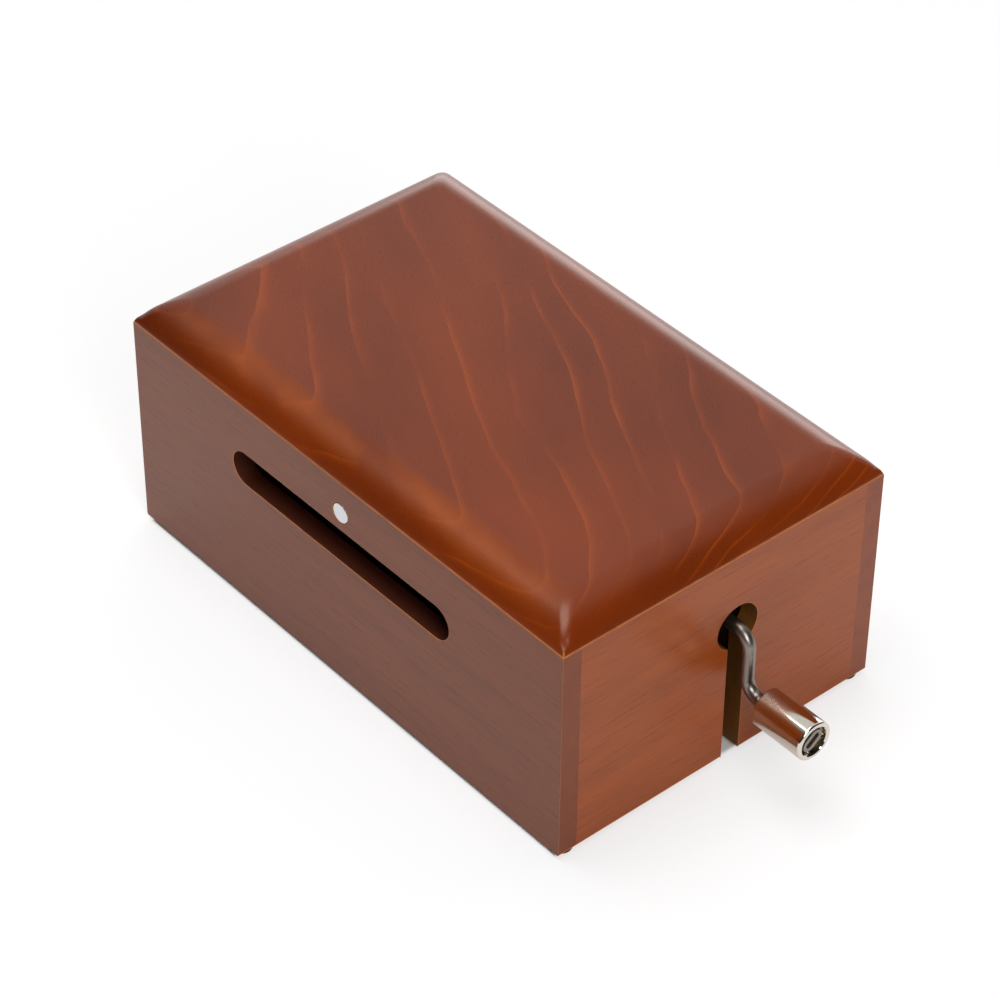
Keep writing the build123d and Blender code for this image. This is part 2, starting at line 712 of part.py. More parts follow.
def make_pressure_block(side):
    """The block in a cheek's slot that the pressure axle turns in."""
    span = (-cheek_outer, -guide_half) if side < 0 else (guide_half, cheek_outer)
    half = BLOCK_WIDTH / 2
    block = board(span, (feed_y - half, feed_y + half), (pressure_z - half, block_top))
    return block - rod(span, feed_y, pressure_z, AXLE_DIAMETER / 2 + RUNNING)


def make_leaf_spring():
    """The bowed strip under the top bridge that presses both blocks down."""
    middle = block_top + LEAF_BOW
    lower = ThreePointArc((-cheek_outer, block_top), (0, middle), (cheek_outer, block_top))
    upper = ThreePointArc(
        (-cheek_outer, block_top + LEAF_THICKNESS),
        (0, middle + LEAF_THICKNESS),
        (cheek_outer, block_top + LEAF_THICKNESS),
    )
    outline = lower + upper + Line(lower @ 0, upper @ 0) + Line(lower @ 1, upper @ 1)
    place = Plane((0, feed_y + LEAF_WIDTH / 2, 0), x_dir=(1, 0, 0), z_dir=(0, -1, 0))
    return extrude(place * make_face(outline), LEAF_WIDTH)


def chord_half(radius, height):
    """Half the width of a wheel at a height from its axis, or nothing where it doesn't reach."""
    return sqrt(max(radius**2 - height**2, 0))


def make_guide(z):
    """A plate the strip slides along, with windows for the star wheels and the roller's sleeves."""
    half = guide_half - GUIDE_SIDE_GAP
    heights = (z, z + GUIDE_THICKNESS)
    plate = board((-half, half), (guide_front, guide_back), heights)
    below = z < strip_z
    near_face = z - star_z
    star_half = chord_half(star_radius, near_face) + STAR_WINDOW_ROOM
    star_x = comb_half
    plate -= board((-star_x, star_x), (star_y - star_half, star_y + star_half), heights)
    radius, axis_z = (feed_radius, feed_z) if below else (pressure_radius, pressure_z)
    far_face = z if below else z + GUIDE_THICKNESS
    roller_half = chord_half(radius, far_face - axis_z) + ROLLER_WINDOW_ROOM
    for low, high in sleeve_spans.values():
        spread = (low - ROLLER_WINDOW_ROOM, high + ROLLER_WINDOW_ROOM)
        plate -= board(spread, (feed_y - roller_half, feed_y + roller_half), heights)
    for span in ((-cheek_outer, -half), (half, cheek_outer)):
        for tab in guide_tabs(span, z, 0):
            plate += tab
    return plate


# Star wheels and comb


def make_star_shaft():
    """The fixed shaft that the star wheels turn on."""
    return rod((-cheek_outer, cheek_outer), star_y, star_z, STAR_SHAFT_DIAMETER / 2)


def make_star_wheels():
    """One pointed wheel for each note, free to turn, with a hub that keeps it at its pitch."""
    waist = STAR_WAIST_DIAMETER / 2
    step = pi / STAR_POINTS
    radii = [star_radius if i % 2 == 0 else waist for i in range(2 * STAR_POINTS)]
    points = [(r * cos(i * step), r * sin(i * step)) for i, r in enumerate(radii)]
    bore = Circle(STAR_SHAFT_DIAMETER / 2 + RUNNING)
    star = make_face(Polyline(*points, close=True)) - bore
    hub = Circle(STAR_HUB_DIAMETER / 2) - bore
    hub_length = NOTE_PITCH - STAR_HUB_GAP
    wheels = []
    for x in note_places:
        wheel = extrude(across(x - STAR_THICKNESS / 2, star_y, star_z) * star, STAR_THICKNESS)
        wheels.append(wheel + extrude(across(x - hub_length / 2, star_y, star_z) * hub, hub_length))
    return Compound(wheels)


def tooth_root(x):
    """How far back a comb tooth is cut, from the long bass teeth on the left to the short treble ones."""
    share = (x - note_places[0]) / (note_places[-1] - note_places[0])
    return comb_tip_y - COMB_BASS_LENGTH - share * (COMB_TREBLE_LENGTH - COMB_BASS_LENGTH)


def make_comb():
    """The tuned steel comb: a thick heel and one tooth for each note."""
    left, right = -comb_half, comb_half
    blank = [
        (left, comb_heel_y),
        (right, comb_heel_y),
        (right, comb_tip_y),
        (left, comb_tip_y),
    ]
    outline = make_face(Polyline(*blank, close=True))
    gap = NOTE_PITCH - COMB_TOOTH_WIDTH
    for x in [p - NOTE_PITCH / 2 for p in note_places] + [note_places[-1] + NOTE_PITCH / 2]:
        root = tooth_root(x)
        cut = comb_tip_y - root
        outline -= Pos(x, root + cut / 2) * Rectangle(gap, cut)
    edge = (comb_half - note_places[-1] - NOTE_PITCH / 2) + gap
    for side in (-1, 1):
        root = tooth_root(side * comb_half)
        cut = comb_tip_y - root
        outline -= Pos(side * comb_half, root + cut / 2) * Rectangle(2 * edge - gap, cut)
    plate = extrude(Plane((0, 0, comb_bottom)) * outline, COMB_THICKNESS)
    heel_top = comb_bottom + COMB_HEEL_THICKNESS
    heel = board((left, right), (comb_heel_y, bridge_back), (comb_bottom, heel_top))
    comb = plate + heel
    for x, y in comb_screw_places:
        comb -= screw_hole(x, y, (comb_bottom, heel_top))
    return comb


def make_comb_bridge():
    """The cast block that holds the comb at the star wheels' height."""
    bridge = board((-comb_half, comb_half), (bridge_front, bridge_back), (bed_top, comb_bottom))
    for x, y in comb_screw_places:
        bridge -= screw_hole(x, y, (comb_bottom - comb_screw_length, comb_bottom))
    return bridge


def make_bass_weights():
    """The lead slugs under the bass teeth's ends, heaviest on the lowest note."""
    slugs = []
    for i, x in enumerate(note_places[:WEIGHT_COUNT]):
        share = i / (WEIGHT_COUNT - 1)
        length = WEIGHT_BASS_LENGTH + share * (WEIGHT_TREBLE_LENGTH - WEIGHT_BASS_LENGTH)
        height = WEIGHT_BASS_HEIGHT + share * (WEIGHT_TREBLE_HEIGHT - WEIGHT_BASS_HEIGHT)
        end = comb_tip_y - WEIGHT_SETBACK
        sides = (x - WEIGHT_WIDTH / 2, x + WEIGHT_WIDTH / 2)
        slugs.append(board(sides, (end - length, end), (comb_bottom - height, comb_bottom)))
    return Compound(slugs)


def make_damper_strip():
    """The thin film under the comb whose fingers hush each tooth before it is plucked again."""
    root_y, knee_y = bridge_back, comb_tip_y - WEIGHT_SETBACK
    tip_y = comb_tip_y - COMB_THICKNESS
    root_z = comb_bottom - DAMPER_ROOT_DROP
    tip_z = comb_bottom - DAMPER_TIP_GAP - DAMPER_THICKNESS
    knee_z = tip_z - WEIGHT_BASS_HEIGHT
    under = [(root_y, root_z), (knee_y, knee_z), (tip_y, tip_z)]
    points = under + [(y, z + DAMPER_THICKNESS) for y, z in reversed(under)]
    finger = make_face(Polyline(*points, close=True))
    back = (root_y, root_y + DAMPER_THICKNESS)
    strip = board((-comb_half, comb_half), back, (root_z, root_z + DAMPER_ROOT_HEIGHT))
    for x in note_places:
        strip += extrude(across(x - DAMPER_WIDTH / 2, 0, 0) * finger, DAMPER_WIDTH)
    return strip


# The pieces, by the names that they are kept under


def make_pieces():
    """Every piece of the music box, at its place."""
    pieces = {
        "lid": make_lid(),
        "front_panel": make_front_panel(),
        "back_panel": make_back_panel(),
        "left_panel": make_left_panel(),
        "right_panel": make_right_panel(),
        "marker_dot": marker(MARKER_DIAMETER / 2),
        "base_board": make_base_board(),
        "base_screws": make_base_screws(),
        "bedplate": make_bedplate(),
        "left_cheek": make_cheek(-1),
        "right_cheek": make_cheek(1),
        "gear_bracket": make_gear_bracket(),
        "top_bridge": make_top_bridge(),
        "bed_screws": frame_screws(bed_screw_places, bed_top, bed_screw_length),
        "cheek_screws": frame_screws(
            [(side * cheek_screw_x, y) for side in (-1, 1) for y in cheek_screw_rows],
            bed_top + CHEEK_THICKNESS,
            flange_screw_length,
        ),
        "bracket_screws": frame_screws(
            [(bracket_screw_x, y) for y in bracket_screw_rows],
            bed_top + CHEEK_THICKNESS,
            flange_screw_length,
        ),
        "top_bridge_screws": frame_screws(top_screw_places, top_bridge_top, top_screw_length),
        "comb_bridge": make_comb_bridge(),
        "comb": make_comb(),
        "comb_screws": frame_screws(comb_screw_places, comb_bottom + COMB_HEEL_THICKNESS, comb_screw_length),
        "bass_weights": make_bass_weights(),
        "damper_strip": make_damper_strip(),
        "star_shaft": make_star_shaft(),
        "star_wheels": make_star_wheels(),
        "lower_strip_guide": make_guide(lower_guide_z),
        "upper_strip_guide": make_guide(upper_guide_z),
        "feed_axle": make_feed_axle(),
        "feed_gear": make_feed_gear(),
        "pressure_axle": make_pressure_axle(),
        "pressure_block_left": make_pressure_block(-1),
        "pressure_block_right": make_pressure_block(1),
        "leaf_spring": make_leaf_spring(),
        "feed_bush_left": make_bush(-cheek_outer, feed_y, feed_z, 1, AXLE_DIAMETER),
        "feed_bush_right": make_bush(cheek_outer, feed_y, feed_z, -1, AXLE_DIAMETER),
        "crank_bush_inner": make_bush(cheek_outer, crank_y, crank_z, -1, ROD_DIAMETER),
        "crank_bush_outer": make_bush(bracket_outer, crank_y, crank_z, -1, ROD_DIAMETER),
        "crank_rod": make_crank_rod(),
        "crank_pinion": make_crank_pinion(),
        "crank_collar": make_crank_collar(),
        "crank_knob": make_crank_knob(),
    }
    for name, (side_x, side_y) in corners.items():
        pieces[f"foot_{name}"] = make_foot(side_x, side_y)
        pieces[f"corner_block_{name}"] = make_corner_block(side_x, side_y)
    for side in ("left", "right"):
        pieces[f"bearer_{side}"] = make_bearer(side)
        pieces[f"feed_sleeve_{side}"] = make_sleeve(side, feed_z, feed_radius)
        pieces[f"pressure_sleeve_{side}"] = make_sleeve(side, pressure_z, pressure_radius)
    return pieces


os.makedirs("parts", exist_ok=True)
for name, piece in make_pieces().items():
    export_step(piece, f"parts/{name}.step")
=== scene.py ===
"""Looks of a hand-cranked strip music box: stained boards, a bent crank with a plated knob, and its works.

Lengths in the dataclasses are millimetres. Blender works in metres, and mm() turns one into the other.
"""

from __future__ import annotations

import logging
import math
from dataclasses import dataclass, field, replace
from enum import Enum
from typing import Any, Callable

import bpy
from mathutils import Matrix, Vector

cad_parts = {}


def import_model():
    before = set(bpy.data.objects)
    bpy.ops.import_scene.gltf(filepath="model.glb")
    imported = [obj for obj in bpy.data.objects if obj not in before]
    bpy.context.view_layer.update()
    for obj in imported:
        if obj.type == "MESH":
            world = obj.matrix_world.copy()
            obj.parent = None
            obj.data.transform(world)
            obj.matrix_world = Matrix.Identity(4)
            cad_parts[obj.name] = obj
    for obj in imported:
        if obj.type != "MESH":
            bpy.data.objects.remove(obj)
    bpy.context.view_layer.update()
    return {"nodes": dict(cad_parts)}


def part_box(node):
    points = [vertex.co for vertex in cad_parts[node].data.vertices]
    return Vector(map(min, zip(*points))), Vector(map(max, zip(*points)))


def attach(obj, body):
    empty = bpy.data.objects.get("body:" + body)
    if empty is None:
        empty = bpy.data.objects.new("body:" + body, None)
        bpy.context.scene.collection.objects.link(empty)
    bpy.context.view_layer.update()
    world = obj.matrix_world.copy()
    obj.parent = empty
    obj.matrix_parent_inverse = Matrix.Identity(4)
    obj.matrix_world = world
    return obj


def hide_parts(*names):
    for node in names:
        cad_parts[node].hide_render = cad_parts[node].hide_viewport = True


Piece = bpy.types.Object
Material = bpy.types.Material
Tree = bpy.types.NodeTree
Node = bpy.types.Node
Socket = bpy.types.NodeSocket
Point = tuple[float, float, float]
Pair = tuple[float, float]

LOG = logging.getLogger("music_box")
MM = 0.001
# Points closer than this many metres count as touching.
FLUSH = 1e-6
# A cutter reaches this many metres past what it cuts.
OVERCUT = 1.0 * MM
# Edges that turn by more than this many degrees are sharp.
SHARP = 30.0
# The number of the upright axis.
UPRIGHT = 2
CORNERS = ("front_left", "front_right", "back_left", "back_right")
# The colour sockets of a mix node.
MIX_A, MIX_B, MIX_RESULT = 6, 7, 2


def mm(*lengths: float) -> Vector:
    """Turns three lengths in millimetres into a vector in metres."""
    return Vector(lengths) * MM


def stain(code: str) -> tuple[float, float, float, float]:
    """Turns an sRGB hex colour into the linear colour that shaders work in.

    Args:
        code: The colour, such as "#813512".

    Returns:
        Linear red, green and blue, and an alpha of 1.
    """
    parts = [int(code[i : i + 2], 16) / 255 for i in (1, 3, 5)]
    linear = [c / 12.92 if c <= 0.04045 else ((c + 0.055) / 1.055) ** 2.4 for c in parts]
    return (*linear, 1.0)


def add_node(tree: Tree, kind: str, feeds: dict[Any, Any], **settings: Any) -> Node:
    """Adds a shader node, sets its options, and fills or links its sockets.

    Args:
        tree: The material's node tree.
        kind: The node's type, without the "ShaderNode" in front.
        feeds: For each input, by name or number, a value or the output socket that feeds it.
        settings: The node's own options.

    Returns:
        The new node.
    """
    node = tree.nodes.new(f"ShaderNode{kind}")
    for key, value in settings.items():
        setattr(node, key, value)
    for key, value in feeds.items():
        if isinstance(value, Socket):
            tree.links.new(value, node.inputs[key])
        else:
            node.inputs[key].default_value = value
    return node


def new_material(name: str) -> tuple[Material, Tree, Node]:
    """Starts a material.

    Args:
        name: The material's name.

    Returns:
        The material, its node tree and its surface shader.
    """
    material = bpy.data.materials.new(name)
    material.use_nodes = True
    return material, material.node_tree, material.node_tree.nodes["Principled BSDF"]


class Layers(Enum):
    """How many finer layers a pattern of grains has."""

    SLOW = 1.0
    SOFT = 2.0
    ROUGH = 3.0
    GRITTY = 4.0


def grain_pattern(tree: Tree, place: Socket, lengths: Point, layers: Layers) -> Socket:
    """Adds a random pattern whose grains are as long, wide and deep as given.

    Args:
        tree: The material's node tree.
        place: The piece's own coordinates.
        lengths: A grain's size along X, Y and Z, in millimetres.
        layers: How many finer layers the pattern has.

    Returns:
        The pattern, from 0 to 1.
    """
    scale = tuple(1 / (length * MM) for length in lengths)
    grit = add_node(tree, "VectorMath", {0: place, 1: scale}, operation="MULTIPLY").outputs["Vector"]
    noise = add_node(tree, "TexNoise", {"Vector": grit, "Scale": 1.0, "Detail": layers.value})
    return noise.outputs["Fac"]


class Grain(Enum):
    """How a board's grain runs, as the turn of its fibres from X about the upright axis, in degrees."""

    LENGTHWISE = 0.0
    CROSSWISE = 90.0
    SLANTED = -28.4


@dataclass(frozen=True)
class StainedBirch:
    """Close-grained birch with a red-brown stain under satin lacquer.

    The stain gives a deep orange-brown, the lacquer a soft grey haze where it mirrors a pale room, and the
    growth rings show as thin lighter lines that hook back where a rounded edge cuts through them. Real fibres
    are finer than the ones here, which are as coarse as they need to be to show.
    """

    name: str
    grain: Grain
    ring_strength: float
    mottle_mm: Point
    fibre_strength: float
    dark: str = "#571c02"
    body: str = "#762c04"
    pale: str = "#984208"
    ring: str = "#aa4a08"
    haze: str = "#ffefdd"
    fibre_mm: Point = (2.4, 0.22, 0.22)
    swirl_mm: Point = (80.0, 28.0, 16.0)
    feather_mm: Point = (14.0, 5.0, 5.0)
    fade_mm: Point = (30.0, 14.0, 14.0)
    mottle_range: Pair = (0.3, 0.7)
    fibre_range: Pair = (0.32, 0.68)
    fade_range: Pair = (0.36, 0.62)
    ring_step_mm: float = 11.0
    ring_depth_mm: float = 3.4
    ring_width: float = 0.34
    ring_falloff: float = 3.4
    swirl_rings: float = 2.4
    feather_rings: float = 0.2
    roughness: Pair = (0.26, 0.3)
    relief: float = 0.006
    relief_mm: float = 0.03
    ior: float = 1.42
    # A paler band along the lid's front rounding, painted as the light that falls on it.
    front_painted_light: float = 0.0
    front_painted_light_tone: str = "#a24c0a"
    front_painted_light_at_mm: float = -43.0
    front_painted_light_width_mm: float = 6.0
    front_painted_light_ends_mm: Pair = (58.0, 76.0)
    front_painted_light_range: Pair = (0.34, 0.62)
    front_painted_light_least: float = 0.25

    def build(self) -> Material:
        """Builds the lacquered board's material.

        Returns:
            The material.
        """
        material, tree, shader = new_material(self.name)
        place = add_node(tree, "TexCoord", {}).outputs["Object"]
        turn = (0.0, 0.0, -math.radians(self.grain.value))
        board = add_node(tree, "Mapping", {"Vector": place, "Rotation": turn}).outputs["Vector"]
        fibre = grain_pattern(tree, board, self.fibre_mm, Layers.ROUGH)
        mottle = grain_pattern(tree, board, self.mottle_mm, Layers.ROUGH)

        low, high = self.mottle_range
        tone = add_node(tree, "MapRange", {"Value": mottle, "From Min": low, "From Max": high})
        low, high = self.fibre_range
        ends = {"From Min": low, "From Max": high, "To Max": self.fibre_strength}
        fleck = add_node(tree, "MapRange", {"Value": fibre, **ends})
        layers = [
            (tone.outputs["Result"], self.body),
            (fleck.outputs["Result"], self.pale),
            (self._ring_lines(tree, board), self.ring),
        ]
        # The optional front band is painted light.
        if self.front_painted_light:
            layers.insert(1, (self._front_painted_light_band(tree, place, board), self.front_painted_light_tone))
        colour: Any = stain(self.dark)
        for amount, tint in layers:
            mix = add_node(tree, "Mix", {0: amount, MIX_A: colour, MIX_B: stain(tint)}, data_type="RGBA")
            colour = mix.outputs[MIX_RESULT]

        low, high = self.roughness
        gloss = add_node(tree, "MapRange", {"Value": fibre, "To Min": low, "To Max": high})
        depth = self.relief_mm * MM
        relief = add_node(tree, "Bump", {"Height": fibre, "Strength": self.relief, "Distance": depth})
        tree.links.new(colour, shader.inputs["Base Color"])
        tree.links.new(gloss.outputs["Result"], shader.inputs["Roughness"])
        tree.links.new(relief.outputs["Normal"], shader.inputs["Normal"])
        shader.inputs["IOR"].default_value = self.ior
        shader.inputs["Specular Tint"].default_value = stain(self.haze)
        return material

    def _front_painted_light_band(self, tree: Tree, place: Socket, board: Socket) -> Socket:
        """Adds a paler band of painted light along the rounded front edge, where light falls on the lid's
        front.

        Args:
            tree: The material's node tree.
            place: The board's own coordinates.
            board: The same coordinates, turned so that X runs along the fibres.

        Returns:
            How much of the painted light shows at each point.
        """
        light_patches = grain_pattern(tree, board, self.fade_mm, Layers.SOFT)
        low, high = self.front_painted_light_range
        least = self.front_painted_light_least * self.front_painted_light
        ends = {"From Min": low, "From Max": high, "To Min": least, "To Max": self.front_painted_light}
        amount = add_node(tree, "MapRange", {"Value": light_patches, **ends}).outputs["Result"]
        axes = add_node(tree, "SeparateXYZ", {"Vector": place}).outputs
        inner, outer = self.front_painted_light_ends_mm
        bounds = (("Y", self.front_painted_light_at_mm, 0.0, self.front_painted_light_width_mm), ("X", 0.0, inner, outer))
        for axis, middle, full, none in bounds:
            off = add_node(tree, "Math", {0: axes[axis], 1: middle * MM}, operation="SUBTRACT")
            gap = add_node(tree, "Math", {0: off.outputs["Value"]}, operation="ABSOLUTE").outputs["Value"]
            ends = {"From Min": full * MM, "From Max": none * MM, "To Min": 1.0, "To Max": 0.0}
            share = add_node(tree, "MapRange", {"Value": gap, **ends}, interpolation_type="SMOOTHSTEP")
            part = {0: amount, 1: share.outputs["Result"]}
            amount = add_node(tree, "Math", part, operation="MULTIPLY").outputs["Value"]
        return amount

    def _ring_lines(self, tree: Tree, board: Socket) -> Socket:
        """Adds the growth rings: layers that rise across the board and sink through it.

        Args:
            tree: The material's node tree.
            board: The board's own coordinates, turned so that X runs along the fibres.

        Returns:
            How much each point lies on a ring's pale line, up to the ring strength.
        """
        axes = add_node(tree, "SeparateXYZ", {"Vector": board}).outputs
        bends = (
            (axes["Y"], 1 / (self.ring_step_mm * MM)),
            (axes["Z"], -1 / (self.ring_depth_mm * MM)),
            (grain_pattern(tree, board, self.swirl_mm, Layers.SLOW), self.swirl_rings),
            (grain_pattern(tree, board, self.feather_mm, Layers.SLOW), self.feather_rings),
        )
        ring: Any = 0.0
        for term, rings in bends:
            total = add_node(tree, "Math", {0: term, 1: rings, 2: ring}, operation="MULTIPLY_ADD")
            ring = total.outputs["Value"]
        tooth = add_node(tree, "Math", {0: ring}, operation="FRACT").outputs["Value"]
        ends = {"From Max": self.ring_width, "To Min": 1.0, "To Max": 0.0}
        ramp = add_node(tree, "MapRange", {"Value": tooth, **ends}).outputs["Result"]
        edge = add_node(tree, "Math", {0: ramp, 1: self.ring_falloff}, operation="POWER").outputs["Value"]
        patch = grain_pattern(tree, board, self.fade_mm, Layers.SOFT)
        low, high = self.fade_range
        ends = {"From Min": low, "From Max": high, "To Max": self.ring_strength}
        fade = add_node(tree, "MapRange", {"Value": patch, **ends}).outputs["Result"]
        return add_node(tree, "Math", {0: edge, 1: fade}, operation="MULTIPLY").outputs["Value"]


@dataclass(frozen=True)
class MottledSurface:
    """A surface whose colour and gloss drift a little from spot to spot."""

    name: str
    colour: str
    worn: str
    roughness: Pair
    grain_mm: Point = (1.2, 1.2, 1.2)
    layers: Layers = Layers.GRITTY

    def _start(self) -> tuple[Material, Tree, Node, Socket, Socket]:
        """Starts the material with what all such surfaces share.

        Returns:
            The material, its node tree, its shader, the pattern of its drift, and its roughness.
        """
        material, tree, shader = new_material(self.name)
        place = add_node(tree, "TexCoord", {}).outputs["Object"]
        drift = grain_pattern(tree, place, self.grain_mm, self.layers)
        tints = {MIX_A: stain(self.colour), MIX_B: stain(self.worn)}
        tone = add_node(tree, "Mix", {0: drift, **tints}, data_type="RGBA")
        low, high = self.roughness
        gloss = add_node(tree, "MapRange", {"Value": drift, "To Min": low, "To Max": high}).outputs["Result"]
        tree.links.new(tone.outputs[MIX_RESULT], shader.inputs["Base Color"])
        tree.links.new(gloss, shader.inputs["Roughness"])
        return material, tree, shader, drift, gloss


@dataclass(frozen=True)
class RubbedMetal(MottledSurface):
    """A bare or plated metal, whose fine worn spots vary its gloss.

    A metal's eye-catch is what it mirrors: low roughness gives a hard image, and worn spots break it up. A
    plated piece can go from satin to polished between two places along X.
    """

    satin_mm: Pair | None = None
    satin: float = 0.2

    def build(self) -> Material:
        """Builds the metal's material.

        Returns:
            The material.
        """
        material, tree, shader, _, gloss = self._start()
        shader.inputs["Metallic"].default_value = 1.0
        if self.satin_mm is not None:
            start, end = (length * MM for length in self.satin_mm)
            place = add_node(tree, "TexCoord", {}).outputs["Object"]
            along = add_node(tree, "SeparateXYZ", {"Vector": place}).outputs["X"]
            ends = {"From Min": start, "From Max": end, "To Min": self.satin, "To Max": gloss}
            dulled = add_node(tree, "MapRange", {"Value": along, **ends})
            tree.links.new(dulled.outputs["Result"], shader.inputs["Roughness"])
        return material


@dataclass(frozen=True)
class PlainSurface(MottledSurface):
    """Rubber, moulded plastic or plain wood: no metal in it, and a faint relief where its colour drifts."""

    grain_mm: Point = (0.8, 0.8, 0.8)
    layers: Layers = Layers.ROUGH
    ior: float = 1.5
    relief: float = 0.1
    relief_mm: float = 0.05

    def build(self) -> Material:
        """Builds the surface's material.

        Returns:
            The material.
        """
        material, tree, shader, drift, _ = self._start()
        depth = self.relief_mm * MM
        relief = add_node(tree, "Bump", {"Height": drift, "Strength": self.relief, "Distance": depth})
        tree.links.new(relief.outputs["Normal"], shader.inputs["Normal"])
        shader.inputs["IOR"].default_value = self.ior
        return material


# The lid's rings drift across it as thin orange lines, and a paler band of painted light lies along its
# rounded front edge.
LID_WOOD = StainedBirch("stained_birch_lid", Grain.SLANTED, 0.45, (90.0, 40.0, 30.0), 0.02, front_painted_light=0.52)
# The long boards are dark, with fine streaks along them.
LONG_WOOD = StainedBirch(
    "stained_birch_long_panel",
    Grain.LENGTHWISE,
    ring_strength=0.0,
    mottle_mm=(60.0, 4.0, 4.0),
    fibre_strength=0.28,
    fibre_mm=(10.0, 0.22, 0.22),
    dark="#612204",
    body="#6e2a05",
    pale="#8f480c",
    haze="#ffebd2",
)
# The back board is a little lighter and redder.
BACK_WOOD = replace(LONG_WOOD, name="stained_birch_back_panel", dark="#702807", body="#7e3209")
# The end boards are the warmest, with their streaks across the case.
END_WOOD = replace(
    LONG_WOOD,
    name="stained_birch_end_panel",
    grain=Grain.CROSSWISE,
    mottle_mm=(40.0, 6.0, 6.0),
    dark="#7b2f05",
    body="#8d3b08",
    pale="#ad5c10",
    haze="#ffe6c6",
)
# Stain that is rubbed off an edge leaves a thin orange line.
RUBBED_EDGE = PlainSurface("stained_birch_rubbed_edge", "#c87426", "#864012", (0.3, 0.4), (6.0, 6.0, 6.0))
# The ends' lower edges are worn, and are painted the brightest orange as a highlight where the table lights
# them from below.
WORN_SOLE_AND_HIGHLIGHT = PlainSurface("stained_birch_worn_sole", "#ee8a20", "#d87216", (0.4, 0.5), (6.0, 6.0, 6.0))
# Stained saw cuts without lacquer are dark, and this colour is darkened further as painted shade for the
# inside of the slot and the long boards' lower edges.
CUT_WOOD_AND_SHADE = PlainSurface("stained_birch_slot", "#481802", "#2c0c00", (0.6, 0.7), (6.0, 0.5, 0.5), ior=1.3)
# A saw cut that missed the stain is a dull ochre.
BARE_CUT = PlainSurface("bare_birch_keyhole", "#75480f", "#553009", (0.6, 0.7), (0.5, 0.5, 6.0), ior=1.35)
# Planed and unfinished wood is pale and matt.
RAW_WOOD = PlainSurface("raw_birch", "#b08a5e", "#946f47", (0.6, 0.75), (22.0, 0.9, 0.9))
# Bright plating mirrors the room, and turns satin towards the case.
KNOB_NICKEL = RubbedMetal(
    "polished_nickel_plate",
    "#ddd6ca",
    "#c6beb2",
    (0.05, 0.12),
    (0.5, 0.5, 0.5),
    satin_mm=(90.0, 102.0),
    satin=0.26,
)
# Drawn and plated rod has a soft grey sheen.
ROD_NICKEL = RubbedMetal("satin_nickel_steel", "#938a83", "#746c66", (0.28, 0.4), (3.0, 0.4, 0.4))
# The zinc castings are painted almost black as shade, as they lie in the dark inside the case, with a broad
# dull sheen.
SHADE_BLACK_CASTING = RubbedMetal("blacked_zinc_casting", "#2b2a2a", "#1f1e1e", (0.5, 0.65))
# Rolled sheet is grey, with a faint streak from the rolls.
SHEET_STEEL = RubbedMetal("rolled_sheet_steel", "#8e8e90", "#7d7d80", (0.32, 0.45), (6.0, 0.4, 0.4))
# Ground spring steel is cool and bright, with streaks from the stone.
GROUND_STEEL = RubbedMetal("ground_spring_steel", "#a3a4a8", "#8c8d92", (0.22, 0.34), (0.3, 5.0, 0.3))
# Zinc plate is the brightest metal inside.
BRIGHT_STEEL = RubbedMetal("zinc_plated_steel", "#b9bbbd", "#a5a7aa", (0.18, 0.3))
# Brass off the lathe is a warm yellow.
TURNED_BRASS = RubbedMetal("turned_brass", "#c49a4c", "#a9803a", (0.2, 0.32))
# Cast lead is a dull blue grey.
SOFT_LEAD = RubbedMetal("cast_lead", "#6c7078", "#585b62", (0.5, 0.6))
# A satin disc looks almost white.
MARKER_METAL = RubbedMetal("satin_nickel_disc", "#d6d7d9", "#cccdd0", (0.22, 0.3), (0.6, 0.6, 0.6))
# Moulded rubber is deep black without shine.
FOOT_RUBBER = PlainSurface("black_rubber", "#080808", "#0d0d0d", (0.55, 0.7), ior=1.3)
# Rubber that is ground true looks dusty.
ROLLER_RUBBER = PlainSurface("ground_black_rubber", "#1c1c1c", "#272626", (0.6, 0.75))
# Damper film is pale, with a slight shine.
DAMPER_FILM = PlainSurface("clear_damper_film", "#d9d4c2", "#cbc6b2", (0.3, 0.4))
# Moulded nylon is ivory.
BLOCK_NYLON = PlainSurface("natural_nylon", "#e2dfd2", "#d5d1c2", (0.4, 0.5))


class Facing(Enum):
    """Which axis a flat outline faces along, as its Euler turn from lying flat."""

    X = (0.0, math.pi / 2, 0.0)
    Y = (math.pi / 2, 0.0, 0.0)
    Z = (0.0, 0.0, 0.0)


class Element(Enum):
    """What a mesh selection is made of."""

    VERT = "vertices"
    EDGE = "edges"
    FACE = "polygons"


class BoardSlot(Enum):
    """A board's material slots after its outside, which is slot 0."""

    RUBBED = 1
    # Cut wood; on the long boards its colour is darkened as painted shade.
    CUT = 2
    SOLE = 3


def clear() -> None:
    """Leaves edit mode and deselects everything."""
    if bpy.context.object and bpy.context.object.mode != "OBJECT":
        bpy.ops.object.mode_set(mode="OBJECT")
    bpy.ops.object.select_all(action="DESELECT")


def focus(piece: Piece) -> None:
    """Makes one piece the only selected and the active one.

    Args:
        piece: The piece.
    """
    clear()
    piece.select_set(True)
    bpy.context.view_layer.objects.active = piece


def pick(piece: Piece, kind: Element, numbers: set[int]) -> None:
    """Enters edit mode on a piece, with only some of its mesh selected.

    Args:
        piece: The piece.
        kind: What is selected.
        numbers: The numbers of the corners, edges or faces to select.
    """
    focus(piece)
    bpy.ops.object.mode_set(mode="EDIT")
    bpy.ops.mesh.select_mode(type=kind.name)
    bpy.ops.mesh.select_all(action="DESELECT")
    bpy.ops.object.mode_set(mode="OBJECT")
    for element in getattr(piece.data, kind.value):
        element.select = element.index in numbers
    bpy.ops.object.mode_set(mode="EDIT")


